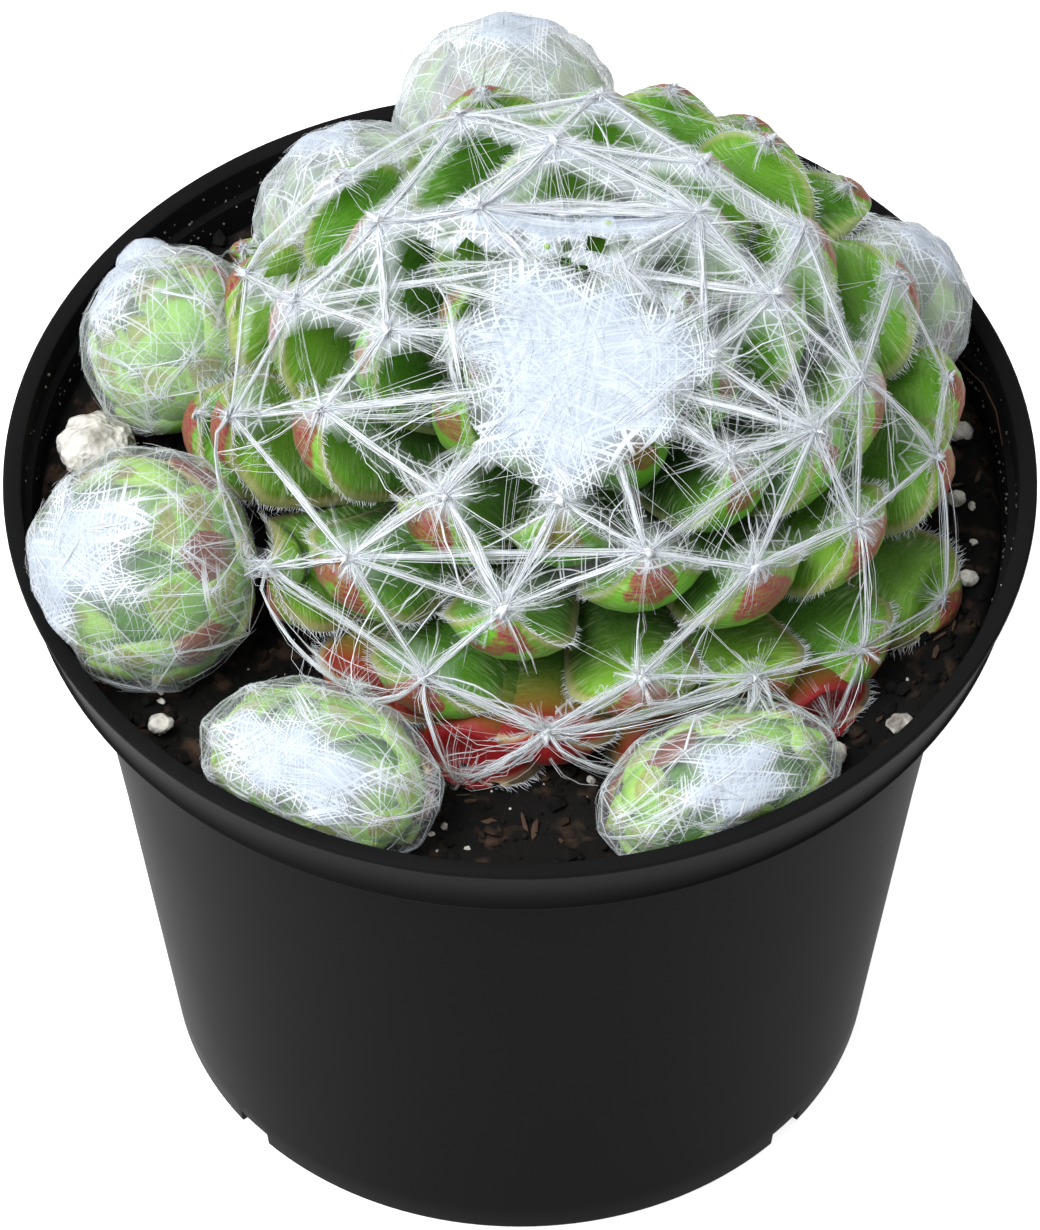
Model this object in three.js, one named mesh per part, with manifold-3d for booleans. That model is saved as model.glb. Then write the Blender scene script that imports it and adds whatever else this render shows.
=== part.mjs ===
// Cobweb houseleek (hens and chicks) growing in a round nursery pot.
// Millimetres, +Z up, the pot stands on z = 0 and its axis is the Z axis; the front is towards -Y.
import * as THREE from 'three';
import { mergeVertices } from 'three/addons/utils/BufferGeometryUtils.js';
import Module from 'manifold-3d';

const wasm = await Module();
wasm.setup();

// ---- driving dimensions of the pot ----
const RIM_RADIUS = 45;            // outside of the lip
const POT_HEIGHT = 65;
const LIP_WIDTH = 1.6;            // flat top of the lip
const COLLAR_DEPTH = 7.5;         // deep band below the lip
const COLLAR_TAPER = 2.1;         // how much the band narrows downwards
const BODY_TOP_RADIUS = 39.3;
const BASE_RADIUS = 30.3;
const WALL = 1.2;
const BEAD_DROP = 6.6;            // the moulded bead line, below the lip
const FOOT_HEIGHT = 1.8;          // floor is raised on a foot ring
const FLOOR_THICKNESS = 1.4;
const NOTCH_WIDTH = 3.5;
const NOTCH_HEIGHT = 1.4;
const NOTCH_AZIMUTHS = [40, 140, 220, 320];
const DRAIN_RADIUS = 3;
const DRAIN_RING = 19;
const POT_SIDES = 40;

// ---- driving dimensions of the potting mix ----
const SOIL_DROP = 5.5;            // mean level below the lip
const SOIL_LUMP = 0.45;
const CLEARANCE = 0.3;
const STEM_HOLE_DEPTH = 5;

// ---- driving dimensions of the mother rosette ----
const LEAN = THREE.MathUtils.degToRad(14);           // leans towards the front
const MOTHER_CENTRE = new THREE.Vector3(4.8, 1.9, POT_HEIGHT + 5.5);
const MOTHER_RADIUS = 32.8;       // circle on which the full-grown leaf tips stand
const MOTHER_DOME = 18.1;         // height of the crown above that circle
const DOME_SHARPNESS = 4.4;
const DIVERGENCE = THREE.MathUtils.degToRad(137.64); // turn from one leaf to the next
const FIRST_AZIMUTH = -0.178;
const FULL_LEAVES = 53;
const YOUNG_LEAVES = 4;
const CROWDED_OUT = [35, 40, 46, 48, 50, 51];       // leaves that the offsets left no room for

const GOLD = THREE.MathUtils.degToRad(137.508);
const SOIL_TOP = POT_HEIGHT - SOIL_DROP;

const V = (x, y, z) => new THREE.Vector3(x, y, z);
const mix = (a, b, t) => a + (b - a) * t;
const smooth = (t) => {
  const c = Math.min(1, Math.max(0, t));
  return c * c * (3 - 2 * c);
};

// Repeatable scatter between 0 and 1.
function scatter(i, k) {
  const s = Math.sin(i * 12.9898 + k * 78.233) * 43758.5453;
  return s - Math.floor(s);
}

// ---- from surfaces to solids and back ----
function signedVolume(points, faces) {
  let sum = 0;
  for (const [a, b, c] of faces) {
    sum += points[a].dot(points[b].clone().cross(points[c]));
  }
  return sum / 6;
}

function solidFromFaces(points, faces) {
  const outward = signedVolume(points, faces) > 0;
  const triVerts = new Uint32Array(faces.flatMap(([a, b, c]) => (outward ? [a, b, c] : [a, c, b])));
  const vertProperties = new Float32Array(points.flatMap((p) => [p.x, p.y, p.z]));
  return new wasm.Manifold(new wasm.Mesh({ numProp: 3, vertProperties, triVerts }));
}

function bare(geometry) {
  geometry.deleteAttribute('normal');
  geometry.deleteAttribute('uv');
  return geometry;
}

function solidFromGeometry(source, matrix) {
  const geometry = bare(source.clone());
  if (matrix) geometry.applyMatrix4(matrix);
  const merged = mergeVertices(geometry, 1e-4);
  const place = merged.getAttribute('position');
  const points = [];
  for (let i = 0; i < place.count; i++) {
    points.push(V(place.getX(i), place.getY(i), place.getZ(i)));
  }
  const faces = [];
  const index = merged.getIndex().array;
  for (let i = 0; i < index.length; i += 3) {
    const [a, b, c] = [index[i], index[i + 1], index[i + 2]];
    if (a !== b && b !== c && c !== a) faces.push([a, b, c]);
  }
  return solidFromFaces(points, faces);
}

// Turns a solid into a geometry. Loose scrap and sealed hollows are dropped: only the shell that
// holds the greatest volume is kept.
function geometryFromSolid(solid) {
  const mesh = solid.getMesh();
  const count = mesh.vertProperties.length / mesh.numProp;
  const points = [];
  for (let i = 0; i < count; i++) {
    const at = i * mesh.numProp;
    points.push(V(mesh.vertProperties[at], mesh.vertProperties[at + 1], mesh.vertProperties[at + 2]));
  }
  const owner = Array.from({ length: count }, (_, i) => i);
  const find = (i) => {
    while (owner[i] !== i) {
      owner[i] = owner[owner[i]];
      i = owner[i];
    }
    return i;
  };
  for (let i = 0; i < mesh.mergeFromVert.length; i++) {
    owner[find(mesh.mergeFromVert[i])] = find(mesh.mergeToVert[i]);
  }
  const canonical = owner.map((_, i) => find(i));
  const shell = Array.from({ length: count }, (_, i) => i);
  const root = (i) => {
    while (shell[i] !== i) {
      shell[i] = shell[shell[i]];
      i = shell[i];
    }
    return i;
  };
  const faces = [];
  for (let i = 0; i < mesh.triVerts.length; i += 3) {
    const [a, b, c] = [0, 1, 2].map((k) => canonical[mesh.triVerts[i + k]]);
    faces.push([a, b, c]);
    shell[root(a)] = root(b);
    shell[root(b)] = root(c);
  }
  const shells = new Map();
  for (const face of faces) {
    const key = root(face[0]);
    if (!shells.has(key)) shells.set(key, []);
    shells.get(key).push(face);
  }
  let kept = [];
  let best = -Infinity;
  for (const group of shells.values()) {
    const volume = signedVolume(points, group);
    if (volume > best) {
      best = volume;
      kept = group;
    }
  }
  const geometry = new THREE.BufferGeometry();
  const flat = kept.flatMap((face) => face.flatMap((i) => [points[i].x, points[i].y, points[i].z]));
  geometry.setAttribute('position', new THREE.Float32BufferAttribute(flat, 3));
  geometry.computeVertexNormals();
  return geometry;
}

function join(solids) {
  return solids.reduce((sum, solid) => sum.add(solid));
}

// ---- pot ----
const collarFoot = RIM_RADIUS - COLLAR_TAPER;
const bodyFoot = POT_HEIGHT - COLLAR_DEPTH;

// Radius inside the wall at a height, used by everything that grows or lies in the pot.
function insideRadius(z) {
  if (z > bodyFoot + WALL) {
    const down = (POT_HEIGHT - z) / COLLAR_DEPTH;
    return RIM_RADIUS - LIP_WIDTH - (COLLAR_TAPER - 0.6) * Math.max(0, down);
  }
  return mix(BASE_RADIUS, BODY_TOP_RADIUS, z / bodyFoot) - WALL;
}

function potShell() {
  const beadZ = POT_HEIGHT - BEAD_DROP;
  const floorTop = FOOT_HEIGHT + FLOOR_THICKNESS;
  const profile = [
    [0, FOOT_HEIGHT],
    [BASE_RADIUS - WALL * 1.4, FOOT_HEIGHT],
    [BASE_RADIUS - WALL * 1.4, 0],
    [BASE_RADIUS, 0],
    [BODY_TOP_RADIUS, bodyFoot],
    [collarFoot - 0.35, bodyFoot],
    [collarFoot - 0.1, beadZ - 0.3],
    [collarFoot + 0.35, beadZ],
    [collarFoot + 0.15, beadZ + 0.35],
    [RIM_RADIUS - 0.45, POT_HEIGHT - 0.9],
    [RIM_RADIUS, POT_HEIGHT - 0.7],
    [RIM_RADIUS, POT_HEIGHT],
    [RIM_RADIUS - LIP_WIDTH, POT_HEIGHT],
    [insideRadius(bodyFoot + WALL + 0.01), bodyFoot + WALL],
    [insideRadius(bodyFoot), bodyFoot],
    [insideRadius(floorTop), floorTop],
    [0, floorTop],
  ];
  const lathe = new THREE.LatheGeometry(profile.map(([r, z]) => new THREE.Vector2(r, z)), POT_SIDES);
  return solidFromGeometry(lathe, new THREE.Matrix4().makeRotationX(Math.PI / 2));
}

function makePot() {
  let solid = potShell();
  for (const azimuth of NOTCH_AZIMUTHS) {
    const box = new THREE.BoxGeometry(6, NOTCH_WIDTH, NOTCH_HEIGHT * 2);
    const turn = new THREE.Matrix4().makeRotationZ(THREE.MathUtils.degToRad(azimuth));
    const out = new THREE.Matrix4().makeTranslation(BASE_RADIUS - WALL, 0, 0);
    solid = solid.subtract(solidFromGeometry(box, turn.multiply(out)));
  }
  for (let i = 0; i < 4; i++) {
    const angle = THREE.MathUtils.degToRad(90 * i);
    const drill = new THREE.CylinderGeometry(DRAIN_RADIUS, DRAIN_RADIUS, 8, 12).rotateX(Math.PI / 2);
    const at = new THREE.Matrix4().makeTranslation(DRAIN_RING * Math.cos(angle), DRAIN_RING * Math.sin(angle),
      FOOT_HEIGHT);
    solid = solid.subtract(solidFromGeometry(drill, at));
  }
  return geometryFromSolid(solid);
}

// ---- potting mix ----
function soilHeight(x, y) {
  const r = Math.hypot(x, y);
  const lumps = Math.sin(x * 0.31 + 1.3) * Math.cos(y * 0.27 - 0.4) + 0.5 * Math.sin(x * 0.43 - y * 0.37);
  return SOIL_TOP + SOIL_LUMP * lumps + 0.4 * smooth((r - 30) / 12);
}

function drill(radius, x, y, bottom, top) {
  const tool = new THREE.CylinderGeometry(radius, radius, top - bottom, 10).rotateX(Math.PI / 2);
  return solidFromGeometry(tool, new THREE.Matrix4().makeTranslation(x, y, (top + bottom) / 2));
}

function makeSoil(stems) {
  const rings = 6;
  const sides = 32;
  const rimRadius = insideRadius(bodyFoot + WALL + 0.01) - CLEARANCE;
  const stepRadius = insideRadius(bodyFoot) - CLEARANCE;
  const footRadius = insideRadius(FOOT_HEIGHT + FLOOR_THICKNESS) - CLEARANCE;
  const stepZ = bodyFoot + WALL + CLEARANCE;
  const floorZ = FOOT_HEIGHT + FLOOR_THICKNESS + CLEARANCE;
  const points = [V(0, 0, soilHeight(0, 0))];
  const faces = [];
  const ringAt = (radius, height) => {
    const start = points.length;
    for (let i = 0; i < sides; i++) {
      const a = (i / sides) * 2 * Math.PI;
      const [x, y] = [radius * Math.cos(a), radius * Math.sin(a)];
      points.push(V(x, y, height ?? soilHeight(x, y)));
    }
    return start;
  };
  const band = (a, b) => {
    for (let i = 0; i < sides; i++) {
      const j = (i + 1) % sides;
      faces.push([a + i, b + i, b + j], [a + i, b + j, a + j]);
    }
  };
  let last = ringAt(rimRadius / rings);
  for (let i = 0; i < sides; i++) faces.push([0, last + i, last + ((i + 1) % sides)]);
  for (let ring = 2; ring <= rings; ring++) {
    const next = ringAt((rimRadius * ring) / rings);
    band(last, next);
    last = next;
  }
  for (const [radius, height] of [[rimRadius, stepZ], [stepRadius, stepZ], [footRadius, floorZ]]) {
    const next = ringAt(radius, height);
    band(last, next);
    last = next;
  }
  const foot = points.push(V(0, 0, floorZ)) - 1;
  for (let i = 0; i < sides; i++) faces.push([foot, last + ((i + 1) % sides), last + i]);
  let solid = solidFromFaces(points, faces);
  for (const stem of stems) {
    const hole = drill(stem.radius + CLEARANCE, stem.x, stem.y, SOIL_TOP - STEM_HOLE_DEPTH - CLEARANCE,
      SOIL_TOP + 4);
    solid = solid.subtract(hole);
  }
  return geometryFromSolid(solid);
}

// ---- offsets: where each ball of leaves sits, how big it is and where its crown faces ----
// at: centre; size: half widths outwards, along the wall and upwards; crown: direction of the crown.
// foot: where its stem or runner enters the mix.
const OFFSETS = [
  { name: 'back', at: V(-1.2, 35.2, 72.4), size: V(9.2, 10.4, 10.4), crown: V(0.05, 0.45, 0.88), foot: [-1, 32] },
  { name: 'back_left', at: V(-14.2, 25, 70.6), size: V(8.8, 9.6, 9.4), crown: V(-0.4, 0.4, 0.8), foot: [-13, 24] },
  { name: 'upper_left', at: V(-30, 13.4, 67.8), size: V(8.6, 9, 8.8), crown: V(-0.7, 0.3, 0.65), foot: [-28, 12] },
  { name: 'left', at: V(-32.4, -12, 67.2), size: V(10.9, 11.3, 11.2), crown: V(-0.72, -0.35, 0.6), foot: [-29, -11] },
  { name: 'front_left', at: V(-17.2, -32.2, 64), size: V(8.2, 11.8, 7.4), crown: V(-0.3, -0.5, 0.8), foot: [-15.5, -28] },
  { name: 'front_right', at: V(17.2, -33, 62.8), size: V(7.6, 11.8, 6.6), crown: V(0.25, -0.5, 0.82), foot: [15.5, -29] },
  { name: 'right', at: V(31.6, 16.4, 69), size: V(8, 8.3, 8.5), crown: V(0.55, 0.3, 0.77), foot: [29.3, 15.2] },
  { name: 'bud', at: V(-32.4, 23.6, 65.4), size: V(3.1, 3.1, 3.4), crown: V(-0.5, 0.1, 0.85), foot: [-27.3, 22.2] },
];
const BUD_LEAVES = 4;
const OFFSET_LEAVES = 11;
const SUNK = 1.6;                  // a leaf of an offset that starts lower than this in the mix is left out
const TIP_SHELL = 0.92;           // leaf tips stand just under the felt
const OFFSET_STEM = 1.3;
const BUD_STEM = 0.8;

for (const offset of OFFSETS) {
  const out = V(offset.at.x, offset.at.y, 0).normalize();
  offset.axes = [out, V(-out.y, out.x, 0), V(0, 0, 1)];
  offset.crown.normalize();
}

// A point on the ball of an offset: direction d from its centre, share f of its half widths.
function onBall(offset, d, f) {
  const [out, along, up] = offset.axes;
  return offset.at.clone()
    .addScaledVector(out, offset.size.x * f * d.dot(out))
    .addScaledVector(along, offset.size.y * f * d.dot(along))
    .addScaledVector(up, offset.size.z * f * d.dot(up));
}

// ---- what grows is bent clear of the mix, the wall and the offsets ----
function clearOfPot(p, pad) {
  const q = p.clone();
  q.z = Math.max(q.z, soilHeight(q.x, q.y) + pad);
  const r = Math.hypot(q.x, q.y);
  const overhang = Math.max(0, q.z - POT_HEIGHT - 0.6);
  const room = Math.min(RIM_RADIUS - 0.1, insideRadius(q.z) - pad + overhang);
  if (r > room) {
    q.x *= room / r;
    q.y *= room / r;
  }
  return q;
}

function clearOfOffsets(p, pad) {
  const q = p.clone();
  for (const offset of OFFSETS) {
    const half = offset.size.clone().addScalar(pad);
    const local = (v) => V(...offset.axes.map((axis) => v.dot(axis))).divide(half);
    const from = local(q.clone().sub(offset.at));
    if (from.lengthSq() >= 1) continue;
    const way = q.clone().sub(offset.at);
    const away = offset.at.clone().sub(MOTHER_CENTRE).normalize();
    const outward = way.dot(away);
    if (outward > -2) way.addScaledVector(away, -outward - 2);
    way.normalize();
    const step = local(way);
    const a = step.lengthSq();
    const b = from.dot(step);
    const c = from.lengthSq() - 1;
    q.addScaledVector(way, (-b + Math.sqrt(b * b - a * c)) / a);
  }
  return q;
}

// ---- one fleshy leaf ----
// rows: from the root to just short of the tip, each { left, right, outer: [...], inner: [...] }.
function blade(rows, tip, settle) {
  const points = [];
  const faces = [];
  const loops = rows.map((row) => {
    const left = settle(row.left);
    const right = settle(row.right);
    const outer = [];
    const inner = [];
    row.outer.forEach((p, i) => {
      const shiftOuter = settle(p).sub(p);
      const shiftInner = settle(row.inner[i]).sub(row.inner[i]);
      const shift = shiftOuter.lengthSq() > shiftInner.lengthSq() ? shiftOuter : shiftInner;
      outer.push(p.clone().add(shift));
      inner.push(row.inner[i].clone().add(shift));
    });
    const loop = [left, ...outer, right, ...inner.reverse()];
    return loop.map((p) => points.push(p) - 1);
  });
  const size = loops[0].length;
  for (let k = 1; k < size - 1; k++) faces.push([loops[0][0], loops[0][k + 1], loops[0][k]]);
  for (let row = 0; row + 1 < loops.length; row++) {
    const [a, b] = [loops[row], loops[row + 1]];
    for (let k = 0; k < size; k++) {
      const j = (k + 1) % size;
      faces.push([a[k], a[j], b[j]], [a[k], b[j], b[k]]);
    }
  }
  const end = points.push(settle(tip)) - 1;
  const last = loops[loops.length - 1];
  for (let k = 0; k < size; k++) faces.push([last[k], last[(k + 1) % size], end]);
  return solidFromFaces(points, faces);
}

// Share of the full width at t along the leaf: a narrow root, widest at two thirds, a short point.
function widthShare(t) {
  const widest = 0.62;
  if (t < widest) return mix(0.5, 1, Math.sin((t / widest) * Math.PI / 2));
  const s = (t - widest) / (1 - widest);
  return Math.pow(1 - s * s, 0.8);
}

function thicknessShare(t) {
  return mix(0.85, 1, smooth(t / 0.3)) * Math.pow(Math.max(0, 1 - Math.pow(t, 3.2)), 0.6);
}

// ---- mother rosette ----
const LEAN_BACK = V(0, Math.cos(LEAN), Math.sin(LEAN));
const LEAN_UP = V(0, -Math.sin(LEAN), Math.cos(LEAN));

function motherPoint(x, y, z) {
  return MOTHER_CENTRE.clone().add(V(x, 0, 0)).addScaledVector(LEAN_BACK, y).addScaledVector(LEAN_UP, z);
}

function domeHeight(rho) {
  return MOTHER_DOME * (1 - Math.pow(rho / MOTHER_RADIUS, DOME_SHARPNESS));
}

// Leaf n of the mother: 0 is the youngest that stands clear of the felt, negative ones are younger.
function motherLeaf(n) {
  const rho = n >= 0
    ? MOTHER_RADIUS * Math.pow((n + 2.4) / 42.8, 0.35)
    : 12 * Math.pow((n + YOUNG_LEAVES + 1) / (YOUNG_LEAVES + 1), 0.7);
  const age = Math.min(1, rho / MOTHER_RADIUS);
  return {
    n,
    rho,
    age,
    azimuth: FIRST_AZIMUTH + n * DIVERGENCE,
    height: domeHeight(rho),
    width: mix(6, 15, smooth(age * 1.1)) * mix(0.94, 1.06, scatter(n + 20, 1)),
    thick: mix(2.2, 3.4, age),
  };
}

// Middle line of the leaf in the plane through the rosette's axis: root, belly, tip.
function motherSpine(leaf, t) {
  const { rho, age, height } = leaf;
  const root = [mix(2.5, 8, age), mix(9, -4.5, smooth((rho - 6) / 27))];
  const belly = [rho + mix(9, 3.5, age ** 4) * Math.min(1, rho / 14), height - mix(8.5, 6, age ** 4)];
  const u = 1 - t;
  return [0, 1].map((k) => u * u * root[k] + 2 * t * u * belly[k] + t * t * [rho, height][k]);
}

const MOTHER_ROWS = [0, 0.36, 0.62, 0.8, 0.92];
const STATIONS = [-0.5, 0.5];
const LATERAL_RADIUS = 12;

const LEAF_GAP = 1;             // what a leaf keeps to its neighbours, as its faces are flat

function settleMother(p) {
  return clearOfPot(clearOfOffsets(clearOfPot(p, LEAF_GAP), LEAF_GAP + 0.2), LEAF_GAP);
}

// grow: how much the leaf is fattened all round, to cut room for the web.
function motherBlade(leaf, grow = 0) {
  const [ca, sa] = [Math.cos(leaf.azimuth), Math.sin(leaf.azimuth)];
  const side = motherPoint(-sa, ca, 0).sub(MOTHER_CENTRE);
  const place = (r, z) => motherPoint(r * ca, r * sa, z);
  const rows = MOTHER_ROWS.map((t) => {
    const here = motherSpine(leaf, t);
    const ahead = motherSpine(leaf, t + 0.01);
    const along = place(...ahead).sub(place(...here)).normalize();
    const inwards = side.clone().cross(along).normalize();
    const middle = place(...here);
    if (inwards.dot(place(0, here[1] + 10).sub(middle)) < 0) inwards.negate();
    const half = (leaf.width / 2) * widthShare(t) + grow;
    const thick = leaf.thick * thicknessShare(t);
    const across = (u, lift) => {
      const turn = (u * half) / LATERAL_RADIUS;
      return middle.clone()
        .addScaledVector(side, LATERAL_RADIUS * Math.sin(turn))
        .addScaledVector(inwards, LATERAL_RADIUS * (1 - Math.cos(turn)) + lift);
    };
    return {
      left: across(-1, 0),
      right: across(1, 0),
      outer: STATIONS.map((u) => across(u, -thick * 0.6 - grow)),
      inner: STATIONS.map((u) => across(u, thick * 0.4 + grow)),
    };
  });
  const end = motherSpine(leaf, 1 + grow / 10);
  return blade(rows, place(...end), settleMother);
}

function motherLeaves() {
  const leaves = [];
  for (let n = -YOUNG_LEAVES; n < FULL_LEAVES; n++) {
    const leaf = motherLeaf(n);
    const [x, y] = [leaf.rho * Math.cos(leaf.azimuth), leaf.rho * Math.sin(leaf.azimuth)];
    leaf.tip = settleMother(motherPoint(x, y, leaf.height));
    if (!CROWDED_OUT.includes(n)) leaves.push(leaf);
  }
  return leaves;
}

function motherCore() {
  const profile = [[0, -8.5], [5, -8], [9, -4.5], [10.5, -1], [10, 4], [8, 8], [5, 11], [0, 12]];
  const lathe = new THREE.LatheGeometry(profile.map(([r, z]) => new THREE.Vector2(r, z)), 16);
  const stand = new THREE.Matrix4().makeRotationX(Math.PI / 2);
  const lean = new THREE.Matrix4().makeBasis(V(1, 0, 0), LEAN_BACK, LEAN_UP).setPosition(MOTHER_CENTRE);
  return solidFromGeometry(lathe, lean.multiply(stand));
}

const MOTHER_STEM = { x: MOTHER_CENTRE.x, y: MOTHER_CENTRE.y + 1.8, radius: 3 };

function stemSolid(stem, top) {
  return drill(stem.radius, stem.x, stem.y, SOIL_TOP - STEM_HOLE_DEPTH, top);
}

function makeMother(leaves) {
  const blades = leaves.map((leaf) => motherBlade(leaf));
  const parts = [motherCore(), stemSolid(MOTHER_STEM, MOTHER_CENTRE.z), ...blades];
  return join(parts);
}

// ---- offset rosettes ----
function offsetFrame(offset) {
  const across = V(0, 0, 1).cross(offset.crown).normalize();
  return [across, offset.crown.clone().cross(across)];
}

const OFFSET_ROWS = [0, 0.5, 0.82];

function leafCount(offset) {
  return offset.name === 'bud' ? BUD_LEAVES : OFFSET_LEAVES;
}

function offsetLeaf(offset, i) {
  const share = (i + 0.5) / leafCount(offset);
  return {
    polar: THREE.MathUtils.degToRad(mix(34, 112, Math.pow(share, 0.8))),
    azimuth: i * GOLD + offset.at.x,
    shell: mix(TIP_SHELL - 0.07, TIP_SHELL, share),
    half: mix(0.38, 0.54, share),
  };
}

function offsetDirection(offset, frame, polar, azimuth, turn) {
  const [e1, e2] = frame;
  const round = e1.clone().multiplyScalar(Math.cos(azimuth)).addScaledVector(e2, Math.sin(azimuth));
  const side = e1.clone().multiplyScalar(-Math.sin(azimuth)).addScaledVector(e2, Math.cos(azimuth));
  return offset.crown.clone().multiplyScalar(Math.cos(polar) * Math.cos(turn))
    .addScaledVector(round, Math.sin(polar) * Math.cos(turn))
    .addScaledVector(side, Math.sin(turn));
}

function offsetBlade(offset, frame, leaf) {
  const reach = Math.min(THREE.MathUtils.degToRad(78), Math.PI * 0.93 - leaf.polar);
  const rows = OFFSET_ROWS.map((t) => {
    const polar = leaf.polar + reach * (1 - t);
    const shell = leaf.shell - 0.3 * Math.pow(1 - t, 2.5);
    const half = leaf.half * widthShare(t);
    const thick = 0.26 * thicknessShare(t);
    const at = (u, f) => onBall(offset, offsetDirection(offset, frame, polar, leaf.azimuth, u * half), f);
    return {
      left: at(-1, shell - 0.06),
      right: at(1, shell - 0.06),
      outer: [at(0, shell)],
      inner: [at(0, shell - thick)],
    };
  });
  const tip = onBall(offset, offsetDirection(offset, frame, leaf.polar, leaf.azimuth, 0), leaf.shell);
  return blade(rows, tip, (p) => clearOfPot(p, LEAF_GAP));
}

function offsetStem(offset) {
  const [x, y] = offset.foot;
  return { x, y, radius: offset.name === 'bud' ? BUD_STEM : OFFSET_STEM };
}

// The runner from the mix up to the middle of the ball.
function runner(offset) {
  const { x, y, radius } = offsetStem(offset);
  const foot = V(x, y, SOIL_TOP + 0.9);
  const reach = offset.at.clone().sub(foot);
  const rod = new THREE.CylinderGeometry(radius * 0.9, radius * 0.98, reach.length(), 8);
  const turn = new THREE.Quaternion().setFromUnitVectors(V(0, 1, 0), reach.clone().normalize());
  const place = new THREE.Matrix4().makeRotationFromQuaternion(turn);
  place.setPosition(foot.addScaledVector(reach, 0.5));
  return solidFromGeometry(rod, place);
}

function offsetCore(offset) {
  const ball = mergeVertices(bare(new THREE.SphereGeometry(1, 8, 5)));
  const place = ball.getAttribute('position');
  for (let i = 0; i < place.count; i++) {
    const p = onBall(offset, V(place.getX(i), place.getY(i), place.getZ(i)), 0.64);
    place.setXYZ(i, ...clearOfPot(p, LEAF_GAP));
  }
  return solidFromGeometry(ball);
}

function makeOffset(offset) {
  const frame = offsetFrame(offset);
  const parts = [offsetCore(offset), stemSolid(offsetStem(offset), SOIL_TOP + 1.6), runner(offset)];
  for (let i = 0; i < leafCount(offset); i++) {
    const leaf = offsetLeaf(offset, i);
    const tip = onBall(offset, offsetDirection(offset, frame, leaf.polar, leaf.azimuth, 0), leaf.shell);
    if (clearOfPot(tip, LEAF_GAP).distanceTo(tip) < SUNK) parts.push(offsetBlade(offset, frame, leaf));
  }
  return join(parts);
}

// ---- cobweb ----
const THREAD = 0.72;              // a bundle of threads, across
const TUFT_RADIUS = 0.95;
const FELT = 1;                   // thickness of the felt over the youngest leaves
const FELT_RADIUS = 10.2;
const FELT_FORWARD = 3.6;           // the felt lies a little to the front of the crown
const STEPS_TO_NEIGHBOUR = [5, 8];
const LONGEST_BUNDLE = 16;

// A three-sided bundle through the given points.
function bundle(path, thickness) {
  const points = [];
  const faces = [];
  const radius = thickness / Math.sqrt(3) * 1.12;
  path.forEach((p, i) => {
    const before = path[Math.max(0, i - 1)];
    const after = path[Math.min(path.length - 1, i + 1)];
    const along = after.clone().sub(before).normalize();
    const side = along.clone().cross(LEAN_UP).normalize();
    const up = side.clone().cross(along);
    for (let k = 0; k < 3; k++) {
      const a = (k * 2 * Math.PI) / 3 + Math.PI / 2;
      points.push(p.clone().addScaledVector(side, radius * Math.cos(a)).addScaledVector(up, radius * Math.sin(a)));
    }
    if (i > 0) {
      const [a, b] = [3 * (i - 1), 3 * i];
      for (let k = 0; k < 3; k++) {
        const j = (k + 1) % 3;
        faces.push([a + k, a + j, b + j], [a + k, b + j, b + k]);
      }
    }
  });
  const last = 3 * (path.length - 1);
  faces.push([0, 2, 1], [last, last + 1, last + 2]);
  return solidFromFaces(points, faces);
}

function tuft(at, radius) {
  return solidFromGeometry(new THREE.OctahedronGeometry(radius), new THREE.Matrix4().setPosition(at));
}

// A patch of felt: rings of points over a surface, outside and inside, closed at its ragged edge.
function feltPatch(shares, sides, surface) {
  const points = [];
  const faces = [];
  const layer = (inside) => {
    const start = points.push(surface(0, 0, inside)) - 1;
    const rings = shares.map((share) => {
      const first = points.length;
      for (let i = 0; i < sides; i++) points.push(surface(share, (i / sides) * 2 * Math.PI, inside));
      return first;
    });
    const put = (a, b, c) => faces.push(inside ? [a, c, b] : [a, b, c]);
    rings.forEach((ring, r) => {
      for (let i = 0; i < sides; i++) {
        const j = (i + 1) % sides;
        if (r === 0) put(start, ring + i, ring + j);
        else {
          put(rings[r - 1] + i, ring + i, ring + j);
          put(rings[r - 1] + i, ring + j, rings[r - 1] + j);
        }
      }
    });
    return rings[rings.length - 1];
  };
  const outer = layer(false);
  const inner = layer(true);
  for (let i = 0; i < sides; i++) {
    const j = (i + 1) % sides;
    faces.push([outer + i, inner + i, inner + j], [outer + i, inner + j, outer + j]);
  }
  return solidFromFaces(points, faces);
}

function domeNormal(rho, azimuth) {
  const slope = (MOTHER_DOME * DOME_SHARPNESS / MOTHER_RADIUS) * Math.pow(rho / MOTHER_RADIUS, DOME_SHARPNESS - 1);
  const out = motherPoint(slope * Math.cos(azimuth), slope * Math.sin(azimuth), 1);
  return out.sub(MOTHER_CENTRE).normalize();
}

// The same piece of web, raised step by step until it passes clear of the leaves.
function raisedClear(room, make) {
  for (let lift = 0; lift <= 2.4; lift += 0.4) {
    const piece = make(lift);
    if (piece.intersect(room).volume() < 1e-6) return piece;
  }
  return null;
}

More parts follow.
